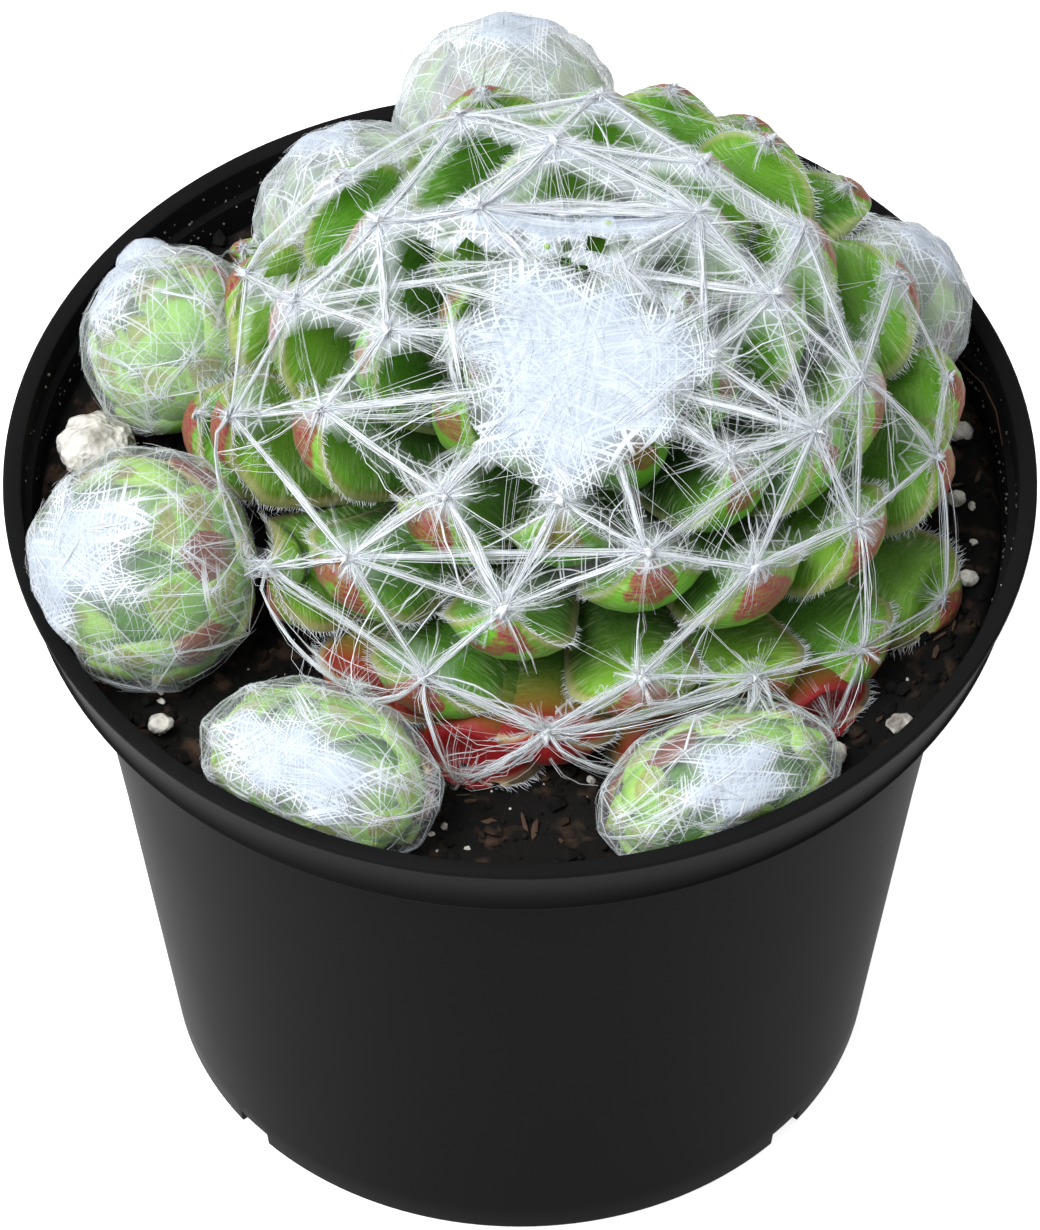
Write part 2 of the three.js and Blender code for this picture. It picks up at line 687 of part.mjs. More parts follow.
function makeMotherWeb(leaves) {
  const settle = (p) => clearOfPot(clearOfOffsets(p, LEAF_GAP + 0.3), LEAF_GAP);
  const fattened = leaves.map((leaf) => motherBlade(leaf, CLEARANCE));
  const room = join([motherCore(), ...leaves.map((leaf) => motherBlade(leaf)), ...fattened]);
  const nodes = new Map();
  const feltPoint = (rho, azimuth, lift) => {
    const [x, y] = [rho * Math.cos(azimuth), rho * Math.sin(azimuth) - FELT_FORWARD];
    return motherPoint(x, y, domeHeight(Math.hypot(x, y)) + lift);
  };
  const felt = feltPatch([0.5, 1], 14, (share, azimuth, inside) => {
    const ragged = 1 + 0.08 * Math.sin(3 * azimuth + 1) + 0.05 * Math.sin(7 * azimuth);
    return feltPoint(FELT_RADIUS * share * ragged, azimuth, 0.5 + (inside ? 0 : FELT));
  });
  const parts = [felt];
  for (const leaf of leaves) {
    if (leaf.n < 0 || leaf.tip.z < SOIL_TOP + 2) continue;
    const normal = domeNormal(leaf.rho, leaf.azimuth);
    const place = (lift) => settle(leaf.tip.clone().addScaledVector(normal, 1 + lift));
    let node = place(0);
    const piece = raisedClear(room, (lift) => {
      node = place(lift);
      return tuft(node, TUFT_RADIUS);
    });
    if (!piece) continue;
    nodes.set(leaf.n, node);
    parts.push(piece);
  }
  const link = (a, b) => {
    const piece = raisedClear(room, (lift) => {
      if (lift === 0) return bundle([a, b], THREAD);
      const middle = a.clone().add(b).multiplyScalar(0.5);
      const outward = middle.clone().sub(MOTHER_CENTRE).normalize();
      return bundle([a, settle(middle.addScaledVector(outward, lift)), b], THREAD);
    });
    if (piece) parts.push(piece);
  };
  for (const [n, node] of nodes) {
    for (const step of STEPS_TO_NEIGHBOUR) {
      const other = nodes.get(n + step);
      if (other && node.distanceTo(other) < LONGEST_BUNDLE) link(node, other);
    }
    if (n <= 7) {
      const azimuth = FIRST_AZIMUTH + n * DIVERGENCE;
      link(feltPoint(FELT_RADIUS * 0.8, azimuth, 0.5 + FELT / 2), node);
    }
  }
  return join(parts);
}

const CAP_ANGLE = THREE.MathUtils.degToRad(46);
const CAP_INSIDE = 0.935;

function makeOffsetWeb(offset) {
  const frame = offsetFrame(offset);
  const settle = (p) => clearOfPot(p, 0.5);
  const at = (polar, azimuth, f) => settle(onBall(offset, offsetDirection(offset, frame, polar, azimuth, 0), f));
  const inside = CAP_INSIDE - (offset.name === 'bud' ? 0.12 : 0);
  const cap = feltPatch([0.55, 1], 10, (share, azimuth, under) => {
    const ragged = 1 + 0.14 * Math.sin(2 * azimuth + offset.at.x) + 0.1 * Math.sin(5 * azimuth + offset.at.y);
    return at(CAP_ANGLE * share * ragged, azimuth, under ? inside : 1);
  });
  return cap;
}

// ---- perlite grains lying on the mix ----
const PERLITE = [
  { at: [-36.6, 5.6], size: V(3.6, 3.3, 2.8), rings: 1 },
  { at: [39, -7.3], size: V(0.9, 0.8, 0.7), rings: 0 },
  { at: [38, 1.6], size: V(0.9, 0.8, 0.7), rings: 0 },
  { at: [38.2, 9.4], size: V(1.3, 1, 0.8), rings: 0 },
  { at: [-31.2, -24], size: V(1.1, 1, 0.8), rings: 0 },
  { at: [27.4, -27.6], size: V(1, 1.2, 0.8), rings: 0 },
  { at: [33, -23.6], size: V(1.2, 1, 0.8), rings: 0 },
];

function makePerlite(grain, index) {
  const ball = mergeVertices(bare(new THREE.IcosahedronGeometry(1, grain.rings)), 1e-3);
  const place = ball.getAttribute('position');
  const [x, y] = grain.at;
  const floor = soilHeight(x, y) + grain.size.z + LEAF_GAP * 0.6;
  for (let i = 0; i < place.count; i++) {
    const rough = mix(0.8, 1.1, scatter(i, index + 7));
    const p = V(place.getX(i), place.getY(i), place.getZ(i)).multiply(grain.size).multiplyScalar(rough);
    place.setXYZ(i, x + p.x, y + p.y, floor + p.z);
  }
  return geometryFromSolid(solidFromGeometry(ball));
}

// ---- the plant's pieces are gathered in one group ----
const group = new THREE.Group();

function addMesh(name, geometry, colour, roughness) {
  const material = new THREE.MeshStandardMaterial({ color: colour, roughness, metalness: 0 });
  const mesh = new THREE.Mesh(geometry, material);
  mesh.name = name;
  group.add(mesh);
}

const leaves = motherLeaves();
addMesh('pot', makePot(), 0x2b2b2c, 0.55);
addMesh('soil', makeSoil([MOTHER_STEM, ...OFFSETS.map(offsetStem)]), 0x17110d, 0.95);
addMesh('rosette_mother', geometryFromSolid(makeMother(leaves)), 0x5d8f2e, 0.5);
addMesh('web_mother', geometryFromSolid(makeMotherWeb(leaves)), 0xe4eaf2, 0.9);
for (const offset of OFFSETS) {
  addMesh(`rosette_${offset.name}`, geometryFromSolid(makeOffset(offset)), 0x7fae5a, 0.5);
  addMesh(`web_${offset.name}`, geometryFromSolid(makeOffsetWeb(offset)), 0xe4eaf2, 0.9);
}
PERLITE.forEach((grain, i) => addMesh(`perlite_${i + 1}`, makePerlite(grain, i), 0xd9d4cc, 0.9));

export default group;
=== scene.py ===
import math
import random

import bmesh
import bpy
import numpy as np
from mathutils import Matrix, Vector, noise
from mathutils.bvhtree import BVHTree


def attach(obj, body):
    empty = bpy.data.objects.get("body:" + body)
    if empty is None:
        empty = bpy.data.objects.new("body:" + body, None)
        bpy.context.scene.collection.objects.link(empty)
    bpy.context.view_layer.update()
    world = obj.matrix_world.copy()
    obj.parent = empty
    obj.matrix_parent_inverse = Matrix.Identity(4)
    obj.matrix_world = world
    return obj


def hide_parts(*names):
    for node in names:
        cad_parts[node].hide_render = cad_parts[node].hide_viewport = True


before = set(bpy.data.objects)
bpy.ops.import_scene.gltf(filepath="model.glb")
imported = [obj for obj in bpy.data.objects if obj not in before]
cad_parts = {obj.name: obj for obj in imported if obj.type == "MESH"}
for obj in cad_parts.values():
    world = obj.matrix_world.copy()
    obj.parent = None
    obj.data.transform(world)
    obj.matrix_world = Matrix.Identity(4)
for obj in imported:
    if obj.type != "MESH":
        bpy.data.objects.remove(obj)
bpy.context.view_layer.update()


# ---- Nursery pot ----
# A thin pot of charcoal polypropylene, moulded in one piece: a foot ring with water notches, a slightly
# flared body, and a deep collar under a flat lip. It is turned from its profile, then notched and drilled.
MM = 0.001
RIM_RADIUS = 45.0
POT_HEIGHT = 65.0
LIP_WIDTH = 1.6
COLLAR_DEPTH = 7.5
COLLAR_TAPER = 2.1
BEAD_DROP = 6.6
BODY_TOP_RADIUS = 39.3
BASE_RADIUS = 30.3
WALL = 1.2
FOOT_RING = 1.68
FOOT_HEIGHT = 1.8
FLOOR_TOP = 3.2
NOTCH = (6, 3.5, 2.8)
NOTCH_AZIMUTHS = (40, 140, 220, 320)
DRAIN_RADIUS = 3
DRAIN_RING = 19
HUB = 2.0                         # the pot and the bed start and end on a disc of this radius
BODY_FOOT = POT_HEIGHT - COLLAR_DEPTH
COLLAR_FOOT = RIM_RADIUS - COLLAR_TAPER
FOOT_INSIDE = BASE_RADIUS - FOOT_RING
FOOT = [(HUB, FOOT_HEIGHT), (FOOT_INSIDE, FOOT_HEIGHT), (FOOT_INSIDE, 0), (BASE_RADIUS, 0)]
BODY = [(30.75, 3), (35, 31), (38.9, 55), (BODY_TOP_RADIUS, BODY_FOOT)]
BEAD = [(COLLAR_FOOT + out, POT_HEIGHT - BEAD_DROP + up) for out, up in (
    (-0.5, -0.9), (-0.35, -0.65), (-0.1, -0.3), (0.25, -0.15), (0.35, 0), (0.2, 0.22), (0.15, 0.4))]
LIP = [(RIM_RADIUS - inwards, POT_HEIGHT - down) for inwards, down in (
    (1.3, 3.8), (0.5, 1), (0.34, 0.8), (0.08, 0.68), (0, 0.5), (0, 0.18), (0.18, 0),
    (1.3, 0), (1.55, 0.15), (1.64, 0.5), (1.85, 2.8), (2.5, 3), (2.85, 6.1), (3.1, 6.3))]
INSIDE = [(BODY_TOP_RADIUS - 1, BODY_FOOT + WALL), (BODY_TOP_RADIUS - WALL, BODY_FOOT + 0.9),
          (BODY_TOP_RADIUS - WALL, BODY_FOOT - 0.1), (BASE_RADIUS - 0.8, FLOOR_TOP), (HUB, FLOOR_TOP)]


def pick(piece):
    """Makes a piece the active one and the only one that is selected."""
    bpy.ops.object.select_all(action="DESELECT")
    piece.select_set(True)
    bpy.context.view_layer.objects.active = piece


def face_outwards(piece):
    """Turns the faces of a closed piece outwards."""
    pick(piece)
    bpy.ops.object.mode_set(mode="EDIT")
    bpy.ops.mesh.select_all(action="SELECT")
    bpy.ops.mesh.normals_make_consistent(inside=False)
    bpy.ops.object.mode_set(mode="OBJECT")


def turn_profile(name, profile, sides):
    """Turns a piece on the pot's axis: a small disc is extruded along the profile, ring by ring."""
    bpy.ops.object.select_all(action="DESELECT")
    radius, height = profile[0]
    bpy.ops.mesh.primitive_circle_add(vertices=sides, radius=radius * MM, fill_type="NGON",
                                      location=(0, 0, height * MM))
    piece = bpy.context.object
    piece.name = name
    bpy.ops.object.transform_apply(location=True)
    bpy.ops.object.mode_set(mode="EDIT")
    bpy.ops.mesh.select_all(action="SELECT")
    for next_radius, next_height in profile[1:]:
        rise = (0, 0, (next_height - height) * MM)
        bpy.ops.mesh.extrude_region_move(TRANSFORM_OT_translate={"value": rise})
        if next_radius != radius:
            share = next_radius / radius
            bpy.ops.transform.resize(value=(share, share, 1), center_override=(0, 0, next_height * MM))
        radius, height = next_radius, next_height
    bpy.ops.object.mode_set(mode="OBJECT")
    face_outwards(piece)
    return piece


def take_away(piece, cutter):
    """Cuts one solid out of a piece and removes the cutter."""
    pick(piece)
    cut = piece.modifiers.new("cut", "BOOLEAN")
    cut.object = cutter
    cut.solver = "EXACT"
    bpy.ops.object.modifier_apply(modifier="cut")
    bpy.data.objects.remove(cutter)


def linear(colour):
    """sRGB hex to the linear colour that the shaders take."""
    parts = [int(colour[i:i + 2], 16) / 255 for i in (1, 3, 5)]
    return tuple(c / 12.92 if c < 0.04045 else ((c + 0.055) / 1.055) ** 2.4 for c in parts) + (1.0,)


def add_node(tree, kind, output, inputs, **settings):
    """Adds a node with its values, links and settings, and gives one of its outputs."""
    made = tree.nodes.new(kind)
    for name, value in settings.items():
        setattr(made, name, value)
    for name, value in inputs.items():
        if isinstance(value, bpy.types.NodeSocket):
            tree.links.new(value, made.inputs[name])
        else:
            made.inputs[name].default_value = value
    return made.outputs[output]


def new_material(name, colour, roughness):
    """A material with a plain shader, which the section then gives its pattern."""
    material = bpy.data.materials.new(name)
    material.use_nodes = True
    shader = material.node_tree.nodes["Principled BSDF"]
    shader.inputs["Base Color"].default_value = linear(colour)
    shader.inputs["Roughness"].default_value = roughness
    return material, material.node_tree, shader


pot = turn_profile("nursery_pot", FOOT + BODY + BEAD + LIP + INSIDE, 160)
for azimuth in NOTCH_AZIMUTHS:
    turn = math.radians(azimuth)
    ring = (BASE_RADIUS - WALL) * MM
    bpy.ops.object.select_all(action="DESELECT")
    bpy.ops.mesh.primitive_cube_add(size=1, location=(ring * math.cos(turn), ring * math.sin(turn), 0),
                                    rotation=(0, 0, turn), scale=[side * MM for side in NOTCH])
    take_away(pot, bpy.context.object)
for quarter in range(4):
    turn = quarter * math.pi / 2
    at = (DRAIN_RING * MM * math.cos(turn), DRAIN_RING * MM * math.sin(turn), FOOT_HEIGHT * MM)
    bpy.ops.object.select_all(action="DESELECT")
    bpy.ops.mesh.primitive_cylinder_add(vertices=40, radius=DRAIN_RADIUS * MM, depth=8 * MM, location=at)
    take_away(pot, bpy.context.object)
pick(pot)
bevel = pot.modifiers.new("moulded edges", "BEVEL")
bevel.width = 0.22 * MM
bevel.segments = 2
bevel.limit_method = "ANGLE"
bevel.angle_limit = math.radians(40)
bpy.ops.object.modifier_apply(modifier="moulded edges")
bpy.ops.object.shade_smooth_by_angle(angle=math.radians(35))

# Injection-moulded polypropylene: a satin black with a fine spark-eroded grain of about 0.25 mm.
plastic, tree, shader = new_material("polypropylene_moulded_charcoal", "#1a1a1b", 0.5)
where = add_node(tree, "ShaderNodeTexCoord", "Object", {})
grain = add_node(tree, "ShaderNodeTexNoise", "Fac", {"Vector": where, "Scale": 4000.0, "Detail": 2.0})
cloud = add_node(tree, "ShaderNodeTexNoise", "Fac", {"Vector": where, "Scale": 60.0, "Detail": 3.0})
tone = add_node(tree, "ShaderNodeMix", 2, {0: cloud, 6: linear("#171718"), 7: linear("#1d1d1e")},
                data_type="RGBA")
tree.links.new(tone, shader.inputs["Base Color"])
satin = add_node(tree, "ShaderNodeMapRange", 0, {"Value": cloud, "To Min": 0.36, "To Max": 0.46})
tree.links.new(satin, shader.inputs["Roughness"])
bump = add_node(tree, "ShaderNodeBump", 0, {"Height": grain, "Strength": 0.12, "Distance": 0.00005})
tree.links.new(bump, shader.inputs["Normal"])
shader.inputs["IOR"].default_value = 1.06
pot.data.materials.append(plastic)
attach(pot, "root")
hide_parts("pot")


# ---- Potting mix ----
# Moist peat and bark that fills the pot to just under the lip. The bed is turned like the pot and its top
# is lifted into lumps; loose crumbs and bark chips lie on it, and dust clings to the inside of the lip.
SOIL_TOP = 59.5
SOIL_LUMP = 0.45
STEM_HOLE_DEPTH = 5.0
BED_GAP = 0.3
BED_RINGS = 62
CRUMBS, CHIPS, DUST_SPECKS = 2300, 240, 520


def smooth(t):
    c = min(1.0, max(0.0, t))
    return c * c * (3 - 2 * c)


def mix(a, b, t):
    return a + (b - a) * t


def inside_radius(z):
    """Radius inside the pot's wall at a height."""
    if z > BODY_FOOT + WALL:
        down = (POT_HEIGHT - z) / COLLAR_DEPTH
        return RIM_RADIUS - LIP_WIDTH - (COLLAR_TAPER - 0.6) * max(0.0, down)
    return mix(BASE_RADIUS, BODY_TOP_RADIUS, z / BODY_FOOT) - WALL


def soil_height(x, y):
    r = math.hypot(x, y)
    lumps = math.sin(x * 0.31 + 1.3) * math.cos(y * 0.27 - 0.4) + 0.5 * math.sin(x * 0.43 - y * 0.37)
    return SOIL_TOP + SOIL_LUMP * lumps + 0.4 * smooth((r - 30) / 12)


def crumbly(x, y):
    """The lumps with the small relief of the crumbs on them."""
    fine = noise.fractal(Vector((x * 0.55, y * 0.55, 3.0)), 1.0, 2.0, 5)
    return soil_height(x, y) + 0.55 * fine


def new_piece(name, points, faces):
    """A piece from its points in mm and its faces."""
    mesh = bpy.data.meshes.new(name)
    mesh.from_pydata((np.array(points, dtype=float) * MM).tolist(), [], faces)
    piece = bpy.data.objects.new(name, mesh)
    bpy.context.collection.objects.link(piece)
    return piece


def grain_blank(detail):
    bpy.ops.object.select_all(action="DESELECT")
    bpy.ops.mesh.primitive_ico_sphere_add(subdivisions=detail, radius=1, location=(0, 0, 0))
    return bpy.context.object


def scattered(name, detail, places, rough, seed):
    """Copies a blank grain to each place: (position, size, (turn, tilt)). Each copy gets its own dents."""
    blank = grain_blank(detail)
    rng = np.random.default_rng(seed)
    shape = np.array([v.co[:] for v in blank.data.vertices])
    faces = np.array([p.vertices[:] for p in blank.data.polygons])
    points, loops = [], []
    for i, (at, size, (turn, tilt)) in enumerate(places):
        own = shape * rng.uniform(1 - rough, 1 + rough, (len(shape), 1)) * np.array(size)
        c, s = math.cos(turn), math.sin(turn)
        spin = np.array([[c, -s, 0], [s, c, 0], [0, 0, 1]])
        c, s = math.cos(tilt), math.sin(tilt)
        tip = np.array([[1, 0, 0], [0, c, -s], [0, s, c]])
        points.append(own @ tip.T @ spin.T + np.array(at))
        loops.append(faces + i * len(shape))
    bpy.data.objects.remove(blank)
    return new_piece(name, np.concatenate(points), np.concatenate(loops).tolist())


bed_rim = inside_radius(BODY_FOOT + WALL + 0.01) - BED_GAP
bed_step = BODY_FOOT + WALL + BED_GAP
bed_profile = [(HUB, FLOOR_TOP + BED_GAP), (29, FLOOR_TOP + BED_GAP), (37.8, 57.2), (38, bed_step),
               (bed_rim, bed_step), (bed_rim, SOIL_TOP)]
bed_profile += [(bed_rim * (1 - i / BED_RINGS), SOIL_TOP) for i in range(1, BED_RINGS)]
soil = turn_profile("potting_mix_bed", bed_profile, 150)
for vertex in soil.data.vertices:
    x, y, z = (c / MM for c in vertex.co)
    if z > SOIL_TOP - 0.2:
        edge = smooth((bed_rim + 0.2 - math.hypot(x, y)) / 1.2)
        vertex.co.z = mix(SOIL_TOP - 0.5, crumbly(x, y), edge) * MM
bpy.ops.object.shade_smooth()

draw = random.Random(11)


def on_soil(reach):
    """A place on the bed, within reach of the axis."""
    r = reach * math.sqrt(draw.random())
    a = draw.uniform(0, 2 * math.pi)
    return r * math.cos(a), r * math.sin(a)


places = []
for _ in range(CRUMBS):
    x, y = on_soil(bed_rim - 0.4)
    size = 0.18 + 0.75 * draw.random() ** 3
    shape = (size * draw.uniform(0.7, 1.3), size * draw.uniform(0.7, 1.3), size * draw.uniform(0.5, 1.0))
    turn = (draw.uniform(0, 6.3), draw.uniform(-0.6, 0.6))
    places.append(((x, y, crumbly(x, y) + 0.25 * size), shape, turn))
crumbs = scattered("peat_crumbs", 1, places, 0.3, 5)
places = []
for _ in range(CHIPS):
    x, y = on_soil(bed_rim - 1.5)
    shape = (draw.uniform(0.3, 1.3), draw.uniform(0.1, 0.3), draw.uniform(0.06, 0.2))
    turn = (draw.uniform(0, 6.3), draw.uniform(-0.4, 0.4))
    places.append(((x, y, crumbly(x, y) + 0.2), shape, turn))
chips = scattered("bark_chips", 1, places, 0.5, 6)
places = []
for _ in range(DUST_SPECKS):
    a = draw.gauss(0.25, 1.1) + math.pi / 4
    z = POT_HEIGHT - 0.8 - 4.6 * draw.random() ** 0.7
    wall = mix(42.2, 42.5, (z - 58.9) / 3.1) if z < 62.0 else mix(43.2, 43.36, (z - 62.2) / 2.3)
    r = wall - 0.03
    size = 0.06 + 0.13 * draw.random() ** 2
    places.append(((r * math.cos(a), r * math.sin(a), z), (size, size, size), (a, 0.0)))
dust = scattered("dust_on_wall", 1, places, 0.3, 7)

# Peat: nearly black, with brown fibres about 0.4 mm across and a matte, moist surface.
peat, tree, shader = new_material("peat_and_bark_moist", "#120e0b", 0.85)
where = add_node(tree, "ShaderNodeTexCoord", "Object", {})
fibrous = add_node(tree, "ShaderNodeTexNoise", "Fac",
                   {"Vector": where, "Scale": 2400.0, "Detail": 5.0, "Roughness": 0.7})
patches = add_node(tree, "ShaderNodeTexNoise", "Fac", {"Vector": where, "Scale": 300.0, "Detail": 4.0})
brown = add_node(tree, "ShaderNodeMapRange", 0, {"Value": patches, "From Min": 0.54, "From Max": 0.72})
dark = add_node(tree, "ShaderNodeMix", 2, {0: fibrous, 6: linear("#020202"), 7: linear("#100d0b")},
                data_type="RGBA")
tone = add_node(tree, "ShaderNodeMix", 2, {0: brown, 6: dark, 7: linear("#4c3a2e")}, data_type="RGBA")
tree.links.new(tone, shader.inputs["Base Color"])
bump = add_node(tree, "ShaderNodeBump", 0, {"Height": fibrous, "Strength": 0.8, "Distance": 0.0002})
tree.links.new(bump, shader.inputs["Normal"])
shader.inputs["Specular IOR Level"].default_value = 0.25

# Pine bark, chipped: brown with darker layers about 1 mm apart, and dry.
bark, tree, shader = new_material("pine_bark_chipped", "#2c1e16", 0.8)
where = add_node(tree, "ShaderNodeTexCoord", "Object", {})
layers = add_node(tree, "ShaderNodeTexNoise", "Fac", {"Vector": where, "Scale": 900.0, "Detail": 4.0})
tone = add_node(tree, "ShaderNodeMix", 2, {0: layers, 6: linear("#140e0a"), 7: linear("#644a38")},
                data_type="RGBA")
tree.links.new(tone, shader.inputs["Base Color"])

# Dust of the dried mix: each speck is its own shade between brown and pale grey.
dust_finish, tree, shader = new_material("dried_mix_dust", "#75706b", 0.9)
where = add_node(tree, "ShaderNodeTexCoord", "Object", {})
cells = add_node(tree, "ShaderNodeTexVoronoi", "Position", {"Vector": where, "Scale": 2500.0})
specks = add_node(tree, "ShaderNodeTexWhiteNoise", "Value", {"Vector": cells})
tone = add_node(tree, "ShaderNodeMix", 2, {0: specks, 6: linear("#2e2622"), 7: linear("#a39d97")},
                data_type="RGBA")
tree.links.new(tone, shader.inputs["Base Color"])

for piece, finish in ((soil, peat), (crumbs, peat), (chips, bark), (dust, dust_finish)):
    piece.data.materials.append(finish)
    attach(piece, "root")
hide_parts("soil")


# ---- Perlite ----
# Foamed white mineral grains mixed into the peat. The large ones lie on top, and small broken ones are
# scattered between the crumbs. Each is a ball dented all over.
PERLITE = [
    ((-36.6, 5.6), (3.6, 3.3, 2.8)), ((39, -7.3), (0.9, 0.8, 0.7)), ((38, 1.6), (0.9, 0.8, 0.7)),
    ((38.2, 9.4), (1.3, 1, 0.8)), ((-31.2, -24), (1.1, 1, 0.8)), ((27.4, -27.6), (1, 1.2, 0.8)),
    ((33, -23.6), (1.2, 1, 0.8))]
SMALL_GRAINS = 230

# Perlite: chalk white, pitted by pores about 0.7 mm apart and stained by the peat.
foam, tree, shader = new_material("perlite_foamed", "#cfccc4", 0.9)
where = add_node(tree, "ShaderNodeTexCoord", "Object", {})
pores = add_node(tree, "ShaderNodeTexVoronoi", "Distance", {"Vector": where, "Scale": 1500.0})
stain = add_node(tree, "ShaderNodeTexNoise", "Fac", {"Vector": where, "Scale": 350.0, "Detail": 5.0})
soot = add_node(tree, "ShaderNodeMapRange", 0, {"Value": stain, "From Min": 0.42, "From Max": 0.7})
tone = add_node(tree, "ShaderNodeMix", 2, {0: soot, 6: linear("#e4e1da"), 7: linear("#6f685f")},
                data_type="RGBA")
tree.links.new(tone, shader.inputs["Base Color"])
bump = add_node(tree, "ShaderNodeBump", 0, {"Height": pores, "Strength": 0.9, "Distance": 0.0003})
tree.links.new(bump, shader.inputs["Normal"])
for index, ((x, y), size) in enumerate(PERLITE):
    detail, sunk = (5, 0.9) if index == 0 else (3, 0.5)
    grain = grain_blank(detail)
    grain.name = f"perlite_grain_{index + 1}"
    middle = Vector((x, y, soil_height(x, y) + size[2] + 0.6 - sunk))
    for vertex in grain.data.vertices:
        way = vertex.co.normalized()
        dents = noise.fractal(way * 1.3 + Vector((index * 7.1, 0, 0)), 1.0, 2.0, 5)
        angular = noise.voronoi(way * 1.5 + Vector((index * 3.7, 0, 0)))[0][0]
        reach = 0.93 + 0.22 * dents + 0.12 * angular
        vertex.co = (middle + way * Vector(size) * reach) * MM
    bpy.ops.object.shade_smooth()
    grain.data.materials.append(foam)
    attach(grain, "root")
    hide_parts(f"perlite_{index + 1}")
places = []
for _ in range(SMALL_GRAINS):
    x, y = on_soil(bed_rim - 1.0)
    size = 0.12 + 0.45 * draw.random() ** 4
    turn = (draw.uniform(0, 6.3), draw.uniform(-0.5, 0.5))
    places.append(((x, y, crumbly(x, y) + 0.3 * size), (size, size * 0.8, size * 0.7), turn))
small = scattered("perlite_crumbs", 2, places, 0.25, 8)
small.data.materials.append(foam)
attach(small, "root")


# ---- Mother rosette: leaves ----
# Fleshy pointed leaves set on a short stem in one golden-angle spiral that forms a low dome and leans to the
# front. One blank leaf is extruded; each leaf is a copy bent to its place, clear of pot, mix and offsets.
LEAN = math.radians(14)
MOTHER_CENTRE = Vector((4.8, 1.9, 70.5))
MOTHER_RADIUS = 32.8
MOTHER_DOME = 18.1
DOME_SHARPNESS = 4.4
DIVERGENCE = math.radians(137.64)
FIRST_AZIMUTH = -0.178
FULL_LEAVES = 53
YOUNG_LEAVES = 17
CROWDED_OUT = (35, 40, 46, 48, 50, 51)
# Where the camera sees the leaf tips that can be told apart, in pixels of its frame. The web's pull and the
# neighbours have drawn them there from their places in the spiral, by a few mm at most.
SEEN_TIPS = {0: (705, 357), 1: (480, 210), 2: (560, 500), 3: (697, 215), 4: (390, 332), 7: (445, 495),
             8: (767, 297), 9: (380, 225), 10: (645, 550), 11: (700, 167), 12: (325, 410), 13: (810, 430),
             14: (460, 115), 15: (505, 605), 16: (800, 232), 17: (300, 302), 18: (750, 565), 19: (600, 100),
             20: (352, 555), 21: (855, 380), 23: (647, 670), 25: (235, 410), 26: (852, 520), 28: (427, 672),
             30: (250, 275), 31: (752, 672), 33: (272, 565), 34: (930, 455), 36: (545, 725), 39: (857, 645),
             41: (365, 680), 42: (941, 388), 47: (937, 580), 52: (825, 740)}
DRAWN_IN, DRAWN_OUT, DRAWN_ROUND = 2.6, 1.5, 2.7
HOLD = 0.14                       # how strongly a tip keeps to its place in the spiral
VIEW_HEIGHT = math.radians(49.46)
FRAME_WIDTH, FRAME_HEIGHT = 1040, 1230
LENS, SENSOR, CAMERA_DISTANCE = 1346, 36, 4000
AIM_DROP = 11.67                  # the middle of the frame lies this far below the middle of the lip
PIXELS_PER_MM = FRAME_HEIGHT / SENSOR * LENS / CAMERA_DISTANCE
TOWARDS = Vector((0, -math.cos(VIEW_HEIGHT), math.sin(VIEW_HEIGHT)))
UPWARDS = Vector((0, math.sin(VIEW_HEIGHT), math.cos(VIEW_HEIGHT)))
LIP_MIDDLE = Vector((0, 0, POT_HEIGHT))
GOLD = math.radians(137.508)
LEAF_GAP = 0.4
MOTHER_ROWS, MOTHER_SIDES = 18, 16
ROW_EASE = 1.35                   # how much closer a leaf's rows lie towards its tip
LEAN_BACK = Vector((0, math.cos(LEAN), math.sin(LEAN)))
LEAN_UP = Vector((0, -math.sin(LEAN), math.cos(LEAN)))
OFFSETS = {
    "back": ((-1.2, 35.2, 72.4), (9.2, 10.4, 10.4), (0.05, 0.45, 0.88), (-1, 32)),
    "back_left": ((-14.2, 25, 70.6), (8.8, 9.6, 9.4), (-0.4, 0.4, 0.8), (-13, 24)),
    "upper_left": ((-30, 13.4, 67.8), (8.6, 9, 8.8), (-0.7, 0.3, 0.65), (-28, 12)),
    "left": ((-32.4, -12, 67.2), (10.9, 11.3, 11.2), (-0.72, -0.35, 0.6), (-29, -11)),
    "front_left": ((-17.2, -32.2, 64), (8.2, 11.8, 7.4), (-0.3, -0.5, 0.8), (-15.5, -28)),
    "front_right": ((17.2, -33, 62.8), (7.6, 11.8, 6.6), (0.25, -0.5, 0.82), (15.5, -29)),
    "right": ((31.6, 16.4, 69), (8, 8.3, 8.5), (0.55, 0.3, 0.77), (29.3, 15.2)),
    "bud": ((-32.4, 23.6, 65.4), (3.1, 3.1, 3.4), (-0.5, 0.1, 0.85), (-27.3, 22.2)),
}


def scatter(i, k):
    """Repeatable scatter between 0 and 1."""
    s = math.sin(i * 12.9898 + k * 78.233) * 43758.5453
    return s - math.floor(s)


class Offset:
    """Where an offset's ball of leaves sits: centre, half widths, its three ways and its crown."""

    def __init__(self, name, at, size, crown, foot):
        self.name, self.at, self.size, self.foot = name, Vector(at), Vector(size), foot
        self.crown = Vector(crown).normalized()
        self.out = Vector((at[0], at[1], 0)).normalized()
        self.along = Vector((-self.out.y, self.out.x, 0))
        self.up = Vector((0, 0, 1))

    def parts(self, v):
        return Vector((v.dot(self.out), v.dot(self.along), v.dot(self.up)))

    def point(self, way, share):
        d = self.parts(way)
        return (self.at + self.out * (self.size.x * share * d.x) + self.along * (self.size.y * share * d.y)
                + self.up * (self.size.z * share * d.z))


offsets = [Offset(name, *rest) for name, rest in OFFSETS.items()]


